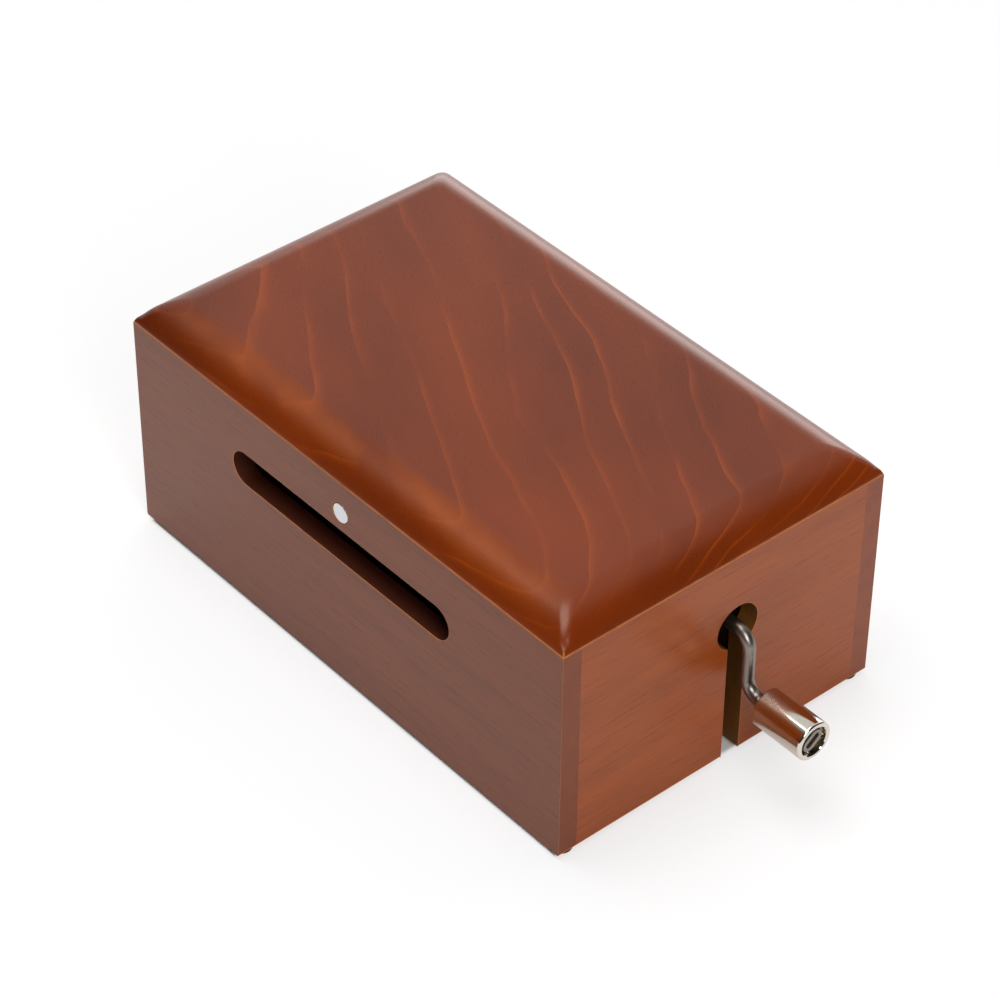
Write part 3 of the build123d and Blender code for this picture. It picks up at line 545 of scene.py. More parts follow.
def pick_all(piece: Piece) -> None:
    """Enters edit mode on a piece, with all of it selected.

    Args:
        piece: The piece.
    """
    focus(piece)
    bpy.ops.object.mode_set(mode="EDIT")
    bpy.ops.mesh.select_all(action="SELECT")


def close_up() -> None:
    """Merges corners that touch, turns all faces outwards, and leaves edit mode."""
    bpy.ops.mesh.select_all(action="SELECT")
    bpy.ops.mesh.remove_doubles(threshold=FLUSH)
    bpy.ops.mesh.normals_make_consistent(inside=False)
    bpy.ops.object.mode_set(mode="OBJECT")


def named(name: str) -> Piece:
    """Applies the new primitive's place to its mesh, and names it.

    Args:
        name: The new name.

    Returns:
        The primitive's object.
    """
    piece = bpy.context.object
    piece.name = name
    piece.data.name = name
    bpy.ops.object.transform_apply(location=True, rotation=True, scale=True)
    return piece


def block(name: str, low: Vector, high: Vector) -> Piece:
    """Adds a sawn block between two corners.

    Args:
        name: The new piece's name.
        low: Its lowest corner.
        high: Its highest corner.

    Returns:
        The block's object.
    """
    clear()
    bpy.ops.mesh.primitive_cube_add(size=1, location=(low + high) / 2)
    bpy.context.object.scale = high - low
    return named(name)


def disc(name: str, centre: Vector, radius: float, facing: Facing, sides: int) -> Piece:
    """Adds a filled round outline, half a step turned so that no corner lies on its axes.

    Args:
        name: The new piece's name.
        centre: The outline's centre.
        radius: Its radius in metres.
        facing: The axis it faces along.
        sides: How many sides it has.

    Returns:
        The outline's object.
    """
    clear()
    bpy.ops.mesh.primitive_circle_add(vertices=sides, radius=radius, fill_type="NGON")
    bpy.context.object.matrix_world = Matrix.Rotation(math.pi / sides, 4, "Z")
    named(name)
    bpy.context.object.rotation_euler = facing.value
    bpy.context.object.location = centre
    return named(name)


def bar(
    name: str, start: Vector, radius: float, depth: Vector, sides: int, pull: Vector | None = None
) -> Piece:
    """Adds a closed round bar, or one whose halves are pulled apart into the shape of a slot.

    Args:
        name: The new piece's name.
        start: The middle of its first end.
        radius: Its radius in metres.
        depth: The way from there to its other end, along one axis.
        sides: How many sides it has.
        pull: How far its halves are pulled apart, and which way.

    Returns:
        The bar's object.
    """
    axis = max(range(3), key=lambda number: abs(depth[number]))
    piece = disc(name, start, radius, list(Facing)[axis], sides)
    places = piece.data.vertices
    ways = () if pull is None else (-1, 1)
    for way in ways:
        half = {place.index for place in places if (place.co - start).dot(pull) * way > 0}
        pick(piece, Element.VERT, half)
        bpy.ops.transform.translate(value=pull * way / 2)
        bpy.ops.object.mode_set(mode="OBJECT")
    pick_all(piece)
    bpy.ops.mesh.extrude_region_move(TRANSFORM_OT_translate={"value": depth})
    close_up()
    return piece


def cut(piece: Piece, cutter: Piece) -> None:
    """Cuts one solid out of another and throws the cutter away.

    Args:
        piece: The solid that stays.
        cutter: What is cut out of it.
    """
    focus(piece)
    saw = piece.modifiers.new("cut", "BOOLEAN")
    saw.operation = "DIFFERENCE"
    saw.solver = "EXACT"
    saw.object = cutter
    bpy.ops.object.modifier_apply(modifier=saw.name)
    bpy.data.objects.remove(cutter, do_unlink=True)


def ease(piece: Piece, width: float, segments: int, slot: int = -1, angle: float = 35.0) -> None:
    """Rounds a piece's sharp edges, and can give the rounding a material of its own.

    Args:
        piece: The piece.
        width: The rounding's width in metres.
        segments: How many faces make up the rounding.
        slot: The material slot for the rounding, or -1 to keep the neighbours' one.
        angle: Edges sharper than this many degrees are rounded.
    """
    focus(piece)
    plane = piece.modifiers.new("ease", "BEVEL")
    plane.width = width
    plane.segments = segments
    plane.limit_method = "ANGLE"
    plane.angle_limit = math.radians(angle)
    plane.material = slot
    plane.use_clamp_overlap = True
    bpy.ops.object.modifier_apply(modifier=plane.name)


def ease_edges(
    piece: Piece, width: float, segments: int, slot: int, chosen: Callable[[Vector, Vector], bool]
) -> None:
    """Rounds the sharp edges that are picked out by where they lie.

    Args:
        piece: The piece.
        width: The rounding's width in metres.
        segments: How many faces make up the rounding.
        slot: The material slot for the rounding.
        chosen: Tells from an edge's two ends whether it is rounded.
    """
    pick(piece, Element.EDGE, set())
    bpy.ops.mesh.edges_select_sharp(sharpness=math.radians(SHARP))
    bpy.ops.object.mode_set(mode="OBJECT")
    places = piece.data.vertices
    sharp = [edge for edge in piece.data.edges if edge.select]
    picked = {edge.index for edge in sharp if chosen(*(places[i].co for i in edge.vertices))}
    pick(piece, Element.EDGE, picked)
    bpy.ops.mesh.bevel(offset=width, segments=segments, affect="EDGES", material=slot, clamp_overlap=True)
    bpy.ops.object.mode_set(mode="OBJECT")


def smooth(piece: Piece, angle: float = SHARP) -> None:
    """Shades a piece smooth, apart from its sharp edges.

    Args:
        piece: The piece.
        angle: Edges sharper than this many degrees stay sharp.
    """
    focus(piece)
    bpy.ops.object.shade_smooth_by_angle(angle=math.radians(angle))
    level = piece.modifiers.new("level", "WEIGHTED_NORMAL")
    level.keep_sharp = True
    bpy.ops.object.modifier_apply(modifier=level.name)


def turned(name: str, centre: Vector, profile: list[Pair], sides: int) -> Piece:
    """Turns a closed ring-shaped piece about an axis along X, one ring after another.

    Args:
        name: The new piece's name.
        centre: A point on the axis, from which the profile's places are counted.
        profile: Each ring's place along X and its radius, in metres. The last meets the first.
        sides: How many sides each ring has.

    Returns:
        The turned piece.
    """
    clear()
    first_place, first_radius = profile[0]
    start = centre + Vector((first_place, 0, 0))
    bpy.ops.mesh.primitive_circle_add(
        vertices=sides, radius=first_radius, location=start, rotation=Facing.X.value
    )
    piece = named(name)
    pick_all(piece)
    for (place, radius), (next_place, next_radius) in zip(profile, profile[1:]):
        step = (next_place - place, 0, 0)
        bpy.ops.mesh.extrude_region_move(TRANSFORM_OT_translate={"value": step})
        grow = next_radius / radius
        middle = centre + Vector((next_place, 0, 0))
        bpy.ops.transform.resize(value=(1, grow, grow), center_override=middle)
    close_up()
    return piece


def dress(piece: Piece, *materials: Material) -> None:
    """Gives a piece its materials.

    Args:
        piece: The piece.
        materials: One material for each slot, in order.
    """
    piece.data.materials.clear()
    for material in materials:
        piece.data.materials.append(material)


def stand_for(piece: Piece, body: str, node: str) -> None:
    """Lets a piece ride on a body and take a node's place, and reports it.

    Args:
        piece: The piece.
        body: The body that moves it.
        node: The node whose place it takes.
    """
    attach(piece, body)
    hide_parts(node)
    LOG.info("%s stands for %s on %s", piece.name, node, body)


@dataclass
class WoodenCase:
    """The stained boards, the marker and the feet: everything that shows of the case."""

    slot_length: float = 81.4
    slot_height: float = 9.7
    slot_level: float = 43.5
    keyhole_diameter: float = 12.6
    keyhole_slot: float = 5.5
    opening_sides: int = 96
    lid_radius: float = 12.4
    lid_rings: int = 14
    lid_edge_angle: float = 60.0
    hip_round: float = 1.8
    hip_segments: int = 6
    hip_foot: float = 1.2
    edge_round: float = 0.25
    edge_segments: int = 2
    corner_round: float = 0.15
    corner_least: float = 1.0
    sole_round: float = 0.6
    sole_segments: int = 4
    rim_round: float = 0.15
    marker_gap: float = 0.15
    marker_round: float = 0.25
    marker_segments: int = 3
    marker_sides: int = 64
    foot_round: float = 0.15
    foot_sides: int = 48
    body: str = "case"
    slot_name: str = "stained_wood"
    rubbed: Material = field(init=False)
    sole: Material = field(init=False)

    def build(self) -> None:
        """Builds and dresses every board, the marker and the feet."""
        self.rubbed, self.sole = RUBBED_EDGE.build(), WORN_SOLE_AND_HIGHLIGHT.build()
        slot_wood_and_shade, keyhole_wood = CUT_WOOD_AND_SHADE.build(), BARE_CUT.build()
        long_wood, back_wood, end_wood = LONG_WOOD.build(), BACK_WOOD.build(), END_WOOD.build()
        left = block("left_board", *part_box("left_panel"))
        self._finish_board(self._lid(), "lid", LID_WOOD.build(), slot_wood_and_shade)
        self._finish_board(self._front_panel(), "front_panel", long_wood, slot_wood_and_shade)
        back = self._slotted_board("back_board", "back_panel")
        self._finish_board(back, "back_panel", back_wood, slot_wood_and_shade)
        self._finish_board(left, "left_panel", end_wood, keyhole_wood)
        self._finish_board(self._right_panel(), "right_panel", end_wood, keyhole_wood)
        self._marker()
        self._feet()

    @staticmethod
    def _lies_at(start: Vector, end: Vector, axis: int, level: float) -> bool:
        """Tells whether both ends of an edge lie at a level along an axis."""
        return abs(start[axis] - level) < FLUSH and abs(end[axis] - level) < FLUSH

    def _outer_faces(self, start: Vector, end: Vector) -> int:
        """Counts the outer faces of the four walls that an edge lies on."""
        faces = (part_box("front_panel")[0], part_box("back_panel")[1])
        return sum(self._lies_at(start, end, axis, face[axis]) for axis in range(3) for face in faces)

    def _tops_wall(self, start: Vector, end: Vector) -> bool:
        """Tells whether an edge is an outer edge of the walls along the lid's seam."""
        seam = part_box("lid")[0].z
        return self._outer_faces(start, end) == 2 and self._lies_at(start, end, UPRIGHT, seam)

    def _ends_wall(self, start: Vector, end: Vector) -> bool:
        """Tells whether an edge is an outer edge of the walls along the table."""
        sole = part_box("front_panel")[0].z
        return self._outer_faces(start, end) == 2 and self._lies_at(start, end, UPRIGHT, sole)

    def _soles_end(self, start: Vector, end: Vector) -> bool:
        """Tells whether an edge along the table belongs to one of the case's two ends."""
        return self._ends_wall(start, end) and abs(start.x - end.x) < FLUSH

    def _soles_side(self, start: Vector, end: Vector) -> bool:
        """Tells whether an edge along the table belongs to one of the case's two long sides."""
        return self._ends_wall(start, end) and abs(start.y - end.y) < FLUSH

    def _stands_upright(self, start: Vector, end: Vector) -> bool:
        """Tells whether an edge is one of the case's four upright corners."""
        return self._outer_faces(start, end) == 2 and abs(start.z - end.z) > self.corner_least * MM

    @staticmethod
    def _follows_seam(start: Vector, end: Vector) -> bool:
        """Tells whether an edge runs where an end board meets a long one."""
        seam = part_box("right_panel")[1].y
        return all(abs(abs(place.y) - seam) < FLUSH for place in (start, end))

    def _rims_opening(self, start: Vector, end: Vector) -> bool:
        """Tells whether an edge runs round an opening on the outside, and not along a seam."""
        return self._outer_faces(start, end) == 1 and not self._follows_seam(start, end)

    def _finish_board(self, board: Piece, node: str, wood: Material, sawn_and_shade: Material) -> None:
        """Stains a board, rubs its outer edges through to paler wood, and sets it in the case.

        Args:
            board: The board.
            node: The node that it stands for.
            wood: Its outside.
            sawn_and_shade: What shows in its openings, and on a long board also the painted shade line along
                its lower edges.
        """
        dress(board, wood, self.rubbed, sawn_and_shade, self.sole)
        few, many = self.edge_segments, self.sole_segments
        if node == "lid":
            ease(board, self.edge_round * MM, few, BoardSlot.RUBBED.value, self.lid_edge_angle)
        else:
            self._stain_cuts(board, *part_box(node))
            # The upright corners come last, because their rounding would narrow that of the lower edges.
            roundings = (
                (self.rim_round, few, BoardSlot.RUBBED, self._rims_opening),
                (self.edge_round, few, BoardSlot.RUBBED, self._tops_wall),
                # The ends' lower edges get the bright sole colour: wear with a painted highlight.
                (self.sole_round, many, BoardSlot.SOLE, self._soles_end),
                # The long sides' lower edges get the dark cut-wood colour as a painted shade line under the
                # case.
                (self.edge_round, few, BoardSlot.CUT, self._soles_side),
                (self.corner_round, few, BoardSlot.RUBBED, self._stands_upright),
            )
            for width, segments, slot, chosen in roundings:
                ease_edges(board, width * MM, segments, slot.value, chosen)
        smooth(board)
        stand_for(board, self.body, node)

    @staticmethod
    def _stain_cuts(board: Piece, low: Vector, high: Vector) -> None:
        """Gives the faces of a board's openings its cut-wood slot, which on the long boards is darkened as
        painted shade.

        Args:
            board: The board.
            low: Its lowest corner.
            high: Its highest corner.
        """
        for face in board.data.polygons:
            if all(low[axis] + FLUSH < face.center[axis] < high[axis] - FLUSH for axis in range(3)):
                face.material_index = BoardSlot.CUT.value

    def _lid_ring(self, step: int, height: float) -> Pair:
        """Works out one ring of the lid's rounding, which is an arc.

        Args:
            step: The ring's number. The last one edges the flat top.
            height: The lid's height in metres.

        Returns:
            How high the ring lies over the seam, and how far it is set in, in metres.
        """
        radius = self.lid_radius * MM
        whole_turn = math.acos(1 - height / radius)
        turn = whole_turn * (1 - step / self.lid_rings)
        rise = height - radius * (1 - math.cos(turn))
        return rise, radius * (math.sin(whole_turn) - math.sin(turn))

    def _lid(self) -> Piece:
        """Builds the lid: rings that step in along an arc, so that its sides meet in mitred hips.

        Returns:
            The lid's object.
        """
        low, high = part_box("lid")
        size = high - low
        last_rise, last_inset = self._lid_ring(1, size.z)[0], 0.0
        lid = block("lid_board", low, Vector((high.x, high.y, low.z + last_rise)))
        top = {face.index for face in lid.data.polygons if face.normal.z > 0.5}
        pick(lid, Element.FACE, top)
        for step in range(1, self.lid_rings + 1):
            rise, inset = self._lid_ring(step, size.z)
            if step > 1:
                move = {"value": (0, 0, rise - last_rise)}
                bpy.ops.mesh.extrude_region_move(TRANSFORM_OT_translate=move)
            grow = [(side - 2 * inset) / (side - 2 * last_inset) for side in (size.x, size.y)]
            bpy.ops.transform.resize(value=(*grow, 1), center_override=(0, 0, low.z + rise))
            last_rise, last_inset = rise, inset
        bpy.ops.object.mode_set(mode="OBJECT")
        self._soften_hips(lid, low.z + self.hip_foot * MM)
        return lid

    def _soften_hips(self, lid: Piece, foot: float) -> None:
        """Rounds the lid's hips, apart from their feet, which stay as crisp as the walls' corners.

        Args:
            lid: The lid.
            foot: The height below which the hips stay crisp, in metres.
        """
        hips = set()
        for edge in lid.data.edges:
            bottom, top = sorted(lid.data.vertices[i].co.z for i in edge.vertices)
            if top - bottom > FLUSH and bottom >= foot:
                hips.add(edge.index)
        pick(lid, Element.EDGE, hips)
        bpy.ops.mesh.bevel(offset=self.hip_round * MM, segments=self.hip_segments, affect="EDGES")
        bpy.ops.object.mode_set(mode="OBJECT")

    def _slotted_board(self, name: str, node: str) -> Piece:
        """Builds a long board with the slot that the strip passes through.

        Args:
            name: The board's name.
            node: The node whose place it takes.

        Returns:
            The board's object.
        """
        low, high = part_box(node)
        board = block(name, low, high)
        centre = Vector((0, low.y - OVERCUT, self.slot_level * MM))
        radius = self.slot_height / 2 * MM
        through = Vector((0, high.y - low.y + 2 * OVERCUT, 0))
        pull = Vector(((self.slot_length - self.slot_height) * MM, 0, 0))
        cut(board, bar("slot_cutter", centre, radius, through, self.opening_sides, pull))
        return board

    def _front_panel(self) -> Piece:
        """Builds the front board, with its slot and the marker's shallow hole.

        Returns:
            The board's object.
        """
        board = self._slotted_board("front_board", "front_panel")
        low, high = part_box("marker_dot")
        radius = (high.x - low.x) / 2 + self.marker_gap * MM
        centre = (low + high) / 2
        centre.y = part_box("front_panel")[0].y - OVERCUT
        depth = Vector((0, high.y - centre.y, 0))
        cut(board, bar("marker_cutter", centre, radius, depth, self.marker_sides))
        return board

    def _right_panel(self) -> Piece:
        """Builds the end board with the crank's keyhole, open to its lower edge.

        Returns:
            The board's object.
        """
        low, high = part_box("right_panel")
        board = block("right_board", low, high)
        bush_low, bush_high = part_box("crank_bush_outer")
        axis = (bush_low + bush_high) / 2
        centre = Vector((low.x - OVERCUT, axis.y, axis.z))
        radius = self.keyhole_diameter / 2 * MM
        through = Vector((high.x - low.x + 2 * OVERCUT, 0, 0))
        cut(board, bar("keyhole_cutter", centre, radius, through, self.opening_sides))
        half = self.keyhole_slot / 2 * MM
        slot_low = Vector((centre.x, axis.y - half, low.z - OVERCUT))
        slot_high = Vector((high.x + OVERCUT, axis.y + half, axis.z))
        cut(board, block("keyway_cutter", slot_low, slot_high))
        return board

    def _marker(self) -> None:
        """Builds the pale disc over the slot, with a softly rounded face."""
        low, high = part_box("marker_dot")
        centre = (low + high) / 2
        centre.y = low.y
        depth = Vector((0, high.y - low.y, 0))
        marker = bar("marker_disc", centre, (high.x - low.x) / 2, depth, self.marker_sides)
        ease(marker, self.marker_round * MM, self.marker_segments)
        smooth(marker)
        dress(marker, MARKER_METAL.build())
        stand_for(marker, self.body, "marker_dot")

    def _feet(self) -> None:
        """Builds a rubber foot under each corner."""
        rubber = FOOT_RUBBER.build()
        for corner in CORNERS:
            low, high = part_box(f"foot_{corner}")
            centre = (low + high) / 2
            centre.z = low.z
            depth = Vector((0, 0, high.z - low.z))
            foot = bar(f"pad_{corner}", centre, (high.x - low.x) / 2, depth, self.foot_sides)
            ease(foot, self.foot_round * MM, self.edge_segments)
            smooth(foot)
            dress(foot, rubber)
            stand_for(foot, self.body, f"foot_{corner}")


@dataclass
class Crank:
    """The bent rod and the knob that turns on it.

    The ears are where the rod is pinched before the knob, and their places are counted back from the knob.
    """

    rod_diameter: float = 3.4
    rod_sides: int = 40
    rod_sharp: float = 40.0
    bend: float = 4.5
    bend_steps: int = 14
    arm: float = 17.0
    arm_standoff: float = 4.1
    ear_stretch: float = 1.38
    ear_pinch: float = 0.62
    ear_start: float = 1.7
    ear_full: float = 1.2
    ear_fade: float = 0.5
    ear_end: float = 0.15
    stake: Point = (6.4, 4.0, 2.2)
    stake_turn: float = 38.0
    stake_round: float = 0.2
    stake_segments: int = 2
    groove: Point = (4.4, 1.6, 1.1)
    groove_sides: int = 32
    knob_round: float = 0.6
    knob_round_steps: int = 6
    knob_sides: int = 96
    knob_sharp: float = 35.0
    knob_near_diameter: float = 10.3
    knob_far_diameter: float = 10.4
    cup_diameter: float = 7.7
    cup_depth: float = 2.8
    cup_lip: float = 0.25
    bore_gap: float = 0.05

    def build(self) -> None:
        """Builds and dresses the rod and the knob."""
        rod = self._rod()
        dress(rod, ROD_NICKEL.build())
        stand_for(rod, "crank", "crank_rod")
        knob = self._knob()
        dress(knob, KNOB_NICKEL.build())
        stand_for(knob, "knob", "crank_knob")

    def _rod(self) -> Piece:
        """Builds the rod: straight in, a bend down, the arm, a bend out, pinched ears and the staked end.

        Returns:
            The rod's object.
        """
        bush_low, bush_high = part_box("crank_bush_outer")
        axis = (bush_low + bush_high) / 2
        arm_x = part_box("right_panel")[1].x + self.arm_standoff * MM
        knob_low, knob_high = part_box("crank_knob")
        knob_z = axis.z - self.arm * MM
        bend = self.bend * MM
        start = Vector((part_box("crank_rod")[0].x, axis.y, axis.z))
        rod = disc("bent_rod", start, self.rod_diameter / 2 * MM, Facing.X, self.rod_sides)
        pick_all(rod)
        legs = (
            ((arm_x - bend - start.x, 0, 0), -math.pi / 2, (arm_x - bend, axis.y, axis.z - bend)),
            ((0, 0, knob_z + 2 * bend - axis.z), math.pi / 2, (arm_x + bend, axis.y, knob_z + bend)),
        )
        for leg, angle, centre in legs:
            self._push(leg)
            bpy.ops.mesh.spin(steps=self.bend_steps, angle=angle, center=centre, axis=(0, 1, 0))
        here = arm_x + bend
        ears = (
            (self.ear_start, 1, 1),
            (self.ear_full, self.ear_stretch, self.ear_pinch),
            (self.ear_fade, 1, 1),
            (self.ear_end, 1 / self.ear_stretch, 1 / self.ear_pinch),
        )
        for gap, wider, flatter in ears:
            place = knob_low.x - gap * MM
            self._push((place - here, 0, 0))
            bpy.ops.transform.resize(value=(1, wider, flatter), center_override=(place, axis.y, knob_z))
            here = place
        rod_end = knob_high.x - (self.cup_depth - self.bore_gap) * MM
        self._push((rod_end - here, 0, 0))
        close_up()
        staked_end = self._staked_end(Vector((rod_end, axis.y, knob_z)))
        focus(rod)
        staked_end.select_set(True)
        bpy.ops.object.join()
        smooth(rod, self.rod_sharp)
        return rod

    @staticmethod
    def _push(step: Point) -> None:
        """Extrudes the selected section by a step."""
        bpy.ops.mesh.extrude_region_move(TRANSFORM_OT_translate={"value": step})

    def _staked_end(self, seat: Vector) -> Piece:
        """Builds the spread, grooved end that keeps the knob on the rod.

        Args:
            seat: The middle of the rod's end.

        Returns:
            The staked end's object.
        """
        turn = math.radians(self.stake_turn)
        along = Vector((0, math.cos(turn), math.sin(turn)))
        length, width, height = (side * MM for side in self.stake)
        pull = along * (length - width)
        end = bar("staked_end", seat, width / 2, Vector((height, 0, 0)), self.rod_sides, pull)
        length, width, depth = (side * MM for side in self.groove)
        floor = seat + Vector((height - depth, 0, 0))
        pull = along * (length - width)
        out = Vector((depth + OVERCUT, 0, 0))
        cut(end, bar("groove_cutter", floor, width / 2, out, self.groove_sides, pull))
        ease(end, self.stake_round * MM, self.stake_segments)
        return end

    def _knob(self) -> Piece:
        """Turns the knob: a flared barrel with a rounded rim and a cup in its free end.

        Returns:
            The knob's object.
        """
        low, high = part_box("crank_knob")
        length = high.x - low.x
        near, far = self.knob_near_diameter / 2 * MM, self.knob_far_diameter / 2 * MM
        cup = self.cup_diameter / 2 * MM
        round_off, lip = self.knob_round * MM, self.cup_lip * MM
        bore = (self.rod_diameter / 2 + self.bore_gap) * MM
        floor = length - self.cup_depth * MM
        arc = [math.pi / 2 * i / self.knob_round_steps for i in range(self.knob_round_steps + 1)]
        rim = [(round_off * (1 - math.sin(a)), round_off * (1 - math.cos(a))) for a in arc]
        near_edge = [(inset, near - drop) for inset, drop in reversed(rim)]
        far_edge = [(length - inset, far - drop) for inset, drop in rim]
        profile = [(0, bore), *near_edge, *far_edge]
        profile += [(length, cup + lip), (length - lip, cup), (floor, cup), (floor, bore), (0, bore)]
        centre = Vector((low.x, (low.y + high.y) / 2, (low.z + high.z) / 2))
        knob = turned("turned_knob", centre, profile, self.knob_sides)
        smooth(knob, self.knob_sharp)
        return knob


@dataclass
class Movement:
    """The works inside, which keep their solids and get their own metals and rubbers."""

    finishes: dict[RubbedMetal | PlainSurface, tuple[str, ...]] = field(
        default_factory=lambda: {
            # The castings' near-black is painted shade.
            SHADE_BLACK_CASTING: ("bedplate", "left_cheek", "right_cheek", "comb_bridge", "gear_bracket"),
            SHEET_STEEL: ("lower_strip_guide", "upper_strip_guide", "top_bridge"),
            GROUND_STEEL: ("comb", "leaf_spring", "star_shaft", "feed_axle", "pressure_axle"),
            BRIGHT_STEEL: tuple(
                f"{held}_screws" for held in ("base", "bed", "cheek", "bracket", "top_bridge", "comb")
            ),
            TURNED_BRASS: (
                "feed_bush_left",
                "feed_bush_right",
                "crank_bush_inner",
                "crank_bush_outer",
                "crank_collar",
                "feed_gear",
                "crank_pinion",
                "star_wheels",
            ),
            SOFT_LEAD: ("bass_weights",),
            DAMPER_FILM: ("damper_strip",),
            BLOCK_NYLON: ("pressure_block_left", "pressure_block_right"),
            ROLLER_RUBBER: tuple(
                f"{roller}_sleeve_{side}" for roller in ("feed", "pressure") for side in ("left", "right")
            ),
            RAW_WOOD: ("base_board", "bearer_left", "bearer_right", *(f"corner_block_{c}" for c in CORNERS)),
        }
    )

    def build(self, nodes: dict[str, Piece]) -> None:
        """Gives each carried-over node its material.

        Args:
            nodes: The frame's nodes by name.
        """
        for finish, names in self.finishes.items():
            material = finish.build()
            for name in names:
                dress(nodes[name], material)
                LOG.info("%s is finished in %s", name, material.name)


@dataclass(frozen=True)
class Softbox:
    """A rectangular soft light that faces a point. Its power is in watts."""

    name: str
    place: Point
    aim: Point
    width: float
    height: float
    power: float

    def build(self) -> None:
        """Hangs the light."""
        clear()
        bpy.ops.object.light_add(type="AREA", location=mm(*self.place))
        lamp = bpy.context.object
        lamp.name = self.name
        lamp.data.shape = "RECTANGLE"
        lamp.data.size = self.width * MM
        lamp.data.size_y = self.height * MM
        lamp.data.energy = self.power
        lamp.visible_camera = False
        lamp.rotation_euler = (mm(*self.aim) - mm(*self.place)).to_track_quat("-Z", "Y").to_euler()


@dataclass
class Studio:
    """The white table, the soft lights and the camera."""

    azimuth: float = 49.275
    elevation: float = 39.78
    roll: float = 0.483
    place: Point = (501.224, -430.892, 580.647)
    focal_length: float = 126.563
    sensor: float = 36.0
    clip_start: float = 10.0
    floor_side: float = 12000.0
    floor_roughness: float = 0.9
    floor_glow: float = 0.63
    glow_from: float = 300.0
    glow_to: float = 1000.0
    gap_shade: float = 0.5
    lit_under_end: float = 1.7
    floor_sheen: float = 1.0
    lit_from: float = -20.0
    lit_to: float = 160.0
    room_light: float = 0.04
    window_light: float = 0.8
    window_way: Point = (-0.58, 0.5, 0.64)
    window_range: Pair = (0.38, 0.82)
    lights: tuple[Softbox, ...] = (
        Softbox("key_softbox", (-100.0, -200.0, 1250.0), (0.0, 0.0, 40.0), 800.0, 800.0, 10.0),
        Softbox("side_softbox", (1000.0, -400.0, 800.0), (0.0, 0.0, 30.0), 500.0, 700.0, 9.5),
        Softbox("rim_softbox", (-680.0, 980.0, 240.0), (0.0, 0.0, 60.0), 1100.0, 460.0, 4.2),
    )

    def build(self) -> None:
        """Builds the floor, the lights, the world and the camera."""
        self._floor()
        for light in self.lights:
            light.build()
        self._world()
        self._camera()
        bpy.context.scene.view_settings.view_transform = "Standard"

    def _floor(self) -> None:
        """Lays a matt white table that stays white to the camera and keeps the object's shadow."""
        clear()
        bpy.ops.mesh.primitive_plane_add(size=self.floor_side * MM)
        floor = named("white_table")
        material, tree, shader = new_material("matt_white_table")
        shader.inputs["Base Color"].default_value = stain("#f0f0f0")
        shader.inputs["Roughness"].default_value = self.floor_roughness
        shader.inputs["Specular IOR Level"].default_value = 0.0
        ray = add_node(tree, "LightPath", {}).outputs
        place = add_node(tree, "TexCoord", {}).outputs["Object"]
        lit = self._lit_behind(tree, place)
        mirrored = add_node(tree, "Math", {0: ray["Is Glossy Ray"], 1: lit}, operation="MULTIPLY")
        seen = {0: ray["Is Camera Ray"], 1: self._white_around(tree, place), 2: mirrored.outputs["Value"]}
        share = add_node(tree, "Math", seen, operation="MULTIPLY_ADD").outputs["Value"]
        glow = add_node(tree, "Emission", {"Color": stain("#ffffff"), "Strength": 1.0}).outputs["Emission"]
        mix = add_node(tree, "MixShader", {0: share, 1: shader.outputs["BSDF"], 2: glow})
        tree.links.new(mix.outputs["Shader"], tree.nodes["Material Output"].inputs["Surface"])
        dress(floor, material)

    def _lit_behind(self, tree: Tree, place: Socket) -> Socket:
        """Adds the light on the table behind the object, which its metal mirrors.

        Args:
            tree: The table's node tree.
            place: The table's own coordinates.

        Returns:
            How bright the table is in a mirror.
        """
        turn = math.radians(self.azimuth)
        away = (-math.sin(turn), math.cos(turn), 0.0)
        behind = add_node(tree, "VectorMath", {0: place, 1: away}, operation="DOT_PRODUCT").outputs["Value"]
        ends = {"From Min": self.lit_from * MM, "From Max": self.lit_to * MM, "To Max": self.floor_sheen}
        return add_node(tree, "MapRange", {"Value": behind, **ends}).outputs["Result"]

    def _white_around(self, tree: Tree, place: Socket) -> Socket:
        """Adds the white of the table round the object, with a dark gap under the case's long sides.

        Args:
            tree: The table's node tree.
            place: The table's own coordinates.

        Returns:
            How far the table is pure white to the camera.
        """
        reach = add_node(tree, "VectorMath", {0: place}, operation="LENGTH").outputs["Value"]
        ends = {"From Min": self.glow_from * MM, "From Max": self.glow_to * MM, "To Min": self.floor_glow}
        white = add_node(tree, "MapRange", {"Value": reach, **ends}).outputs["Result"]
        low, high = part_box("front_panel")[0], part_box("back_panel")[1]
        middle = (low + high) / 2
        offset = add_node(tree, "VectorMath", {0: place, 1: middle}, operation="SUBTRACT").outputs["Vector"]
        spread = add_node(tree, "VectorMath", {0: offset}, operation="ABSOLUTE").outputs["Vector"]
        shaded = (high - low) / 2 - mm(self.lit_under_end, 0, 0)
        past = add_node(tree, "VectorMath", {0: spread, 1: shaded}, operation="SUBTRACT").outputs["Vector"]
        sides = add_node(tree, "SeparateXYZ", {"Vector": past}).outputs
        outside = add_node(tree, "Math", {0: sides["X"], 1: sides["Y"]}, operation="MAXIMUM")
        edge = self.gap_shade * MM
        ends = {"From Min": -edge, "From Max": edge}
        shown = add_node(tree, "MapRange", {"Value": outside.outputs["Value"], **ends})
        bright = add_node(tree, "Math", {0: white, 1: shown.outputs["Result"]}, operation="MULTIPLY")
        return bright.outputs["Value"]

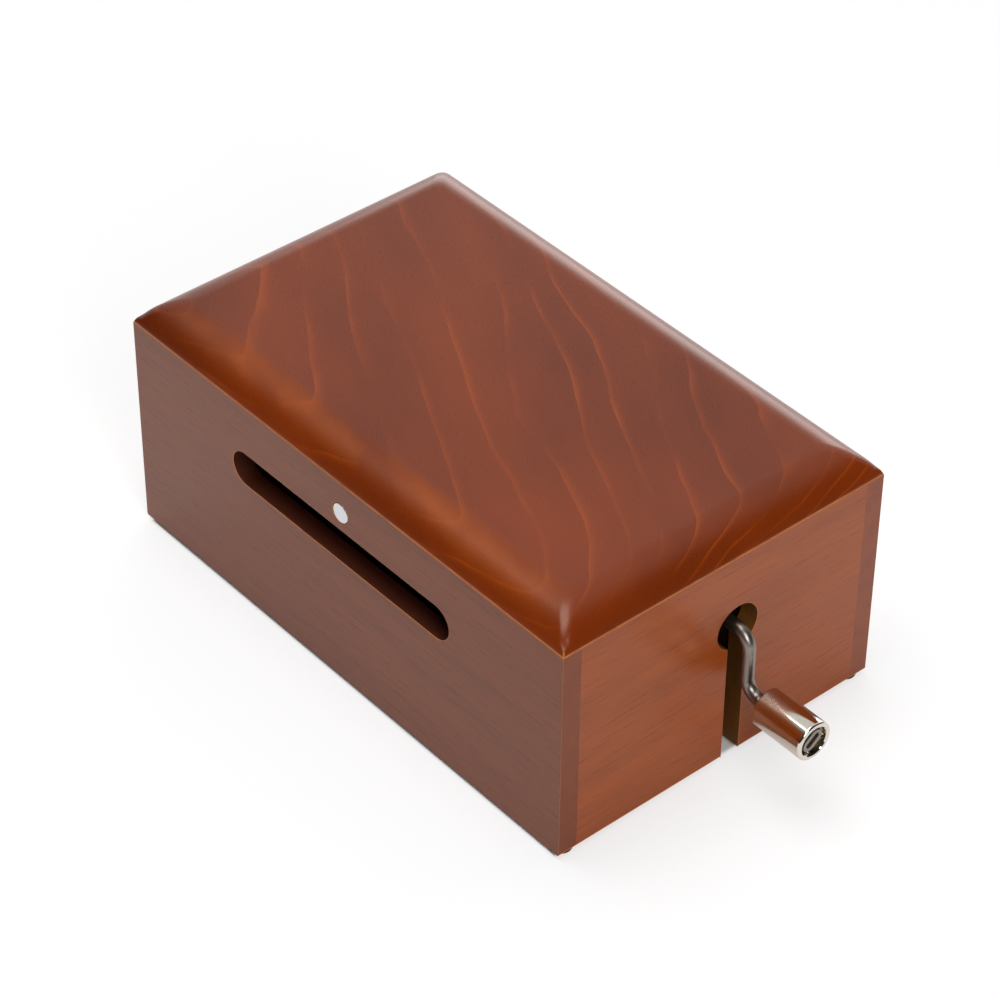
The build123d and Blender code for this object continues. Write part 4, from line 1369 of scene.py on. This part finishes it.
    def _world(self) -> None:
        """Makes the room white to the camera, and otherwise dim, with one pale wall at the back left."""
        world = bpy.data.worlds.new("white_room")
        bpy.context.scene.world = world
        world.use_nodes = True
        tree = world.node_tree
        way = add_node(tree, "TexCoord", {}).outputs["Generated"]
        facing = add_node(tree, "VectorMath", {0: way, 1: self.window_way}, operation="DOT_PRODUCT")
        start, end = self.window_range
        wall = add_node(
            tree,
            "MapRange",
            {
                "Value": facing.outputs["Value"],
                "From Min": start,
                "From Max": end,
                "To Min": self.room_light,
                "To Max": self.room_light + self.window_light,
            },
            interpolation_type="SMOOTHSTEP",
        ).outputs["Result"]
        camera = add_node(tree, "LightPath", {}).outputs["Is Camera Ray"]
        level = add_node(tree, "Math", {0: wall, 1: camera}, operation="MAXIMUM").outputs["Value"]
        tree.nodes["Background"].inputs["Color"].default_value = stain("#ffffff")
        tree.links.new(level, tree.nodes["Background"].inputs["Strength"])

    def _camera(self) -> None:
        """Sets the camera at the photograph's angle, distance and focal length."""
        turn, rise, roll = (math.radians(a) for a in (self.azimuth, self.elevation, self.roll))
        back = Vector((math.sin(turn) * math.cos(rise), -math.cos(turn) * math.cos(rise), math.sin(rise)))
        right = Vector((0, 0, 1)).cross(back).normalized()
        up = back.cross(right)
        level = Matrix((right, up, back)).transposed()
        rolled = level @ Matrix.Rotation(roll, 3, "Z")
        lens = bpy.data.cameras.new("studio_camera")
        lens.sensor_fit = "HORIZONTAL"
        lens.sensor_width = self.sensor
        lens.lens = self.focal_length
        lens.clip_start = self.clip_start * MM
        camera = bpy.data.objects.new("studio_camera", lens)
        bpy.context.scene.collection.objects.link(camera)
        camera.matrix_world = Matrix.Translation(mm(*self.place)) @ rolled.to_4x4()
        bpy.context.scene.camera = camera


def main() -> None:
    """Loads the frame, dresses the music box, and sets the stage."""
    logging.basicConfig(level=logging.INFO, format="%(name)s: %(message)s")
    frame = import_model()
    WoodenCase().build()
    Crank().build()
    Movement().build(frame["nodes"])
    Studio().build()
    clear()


if __name__ == "__main__":
    main()
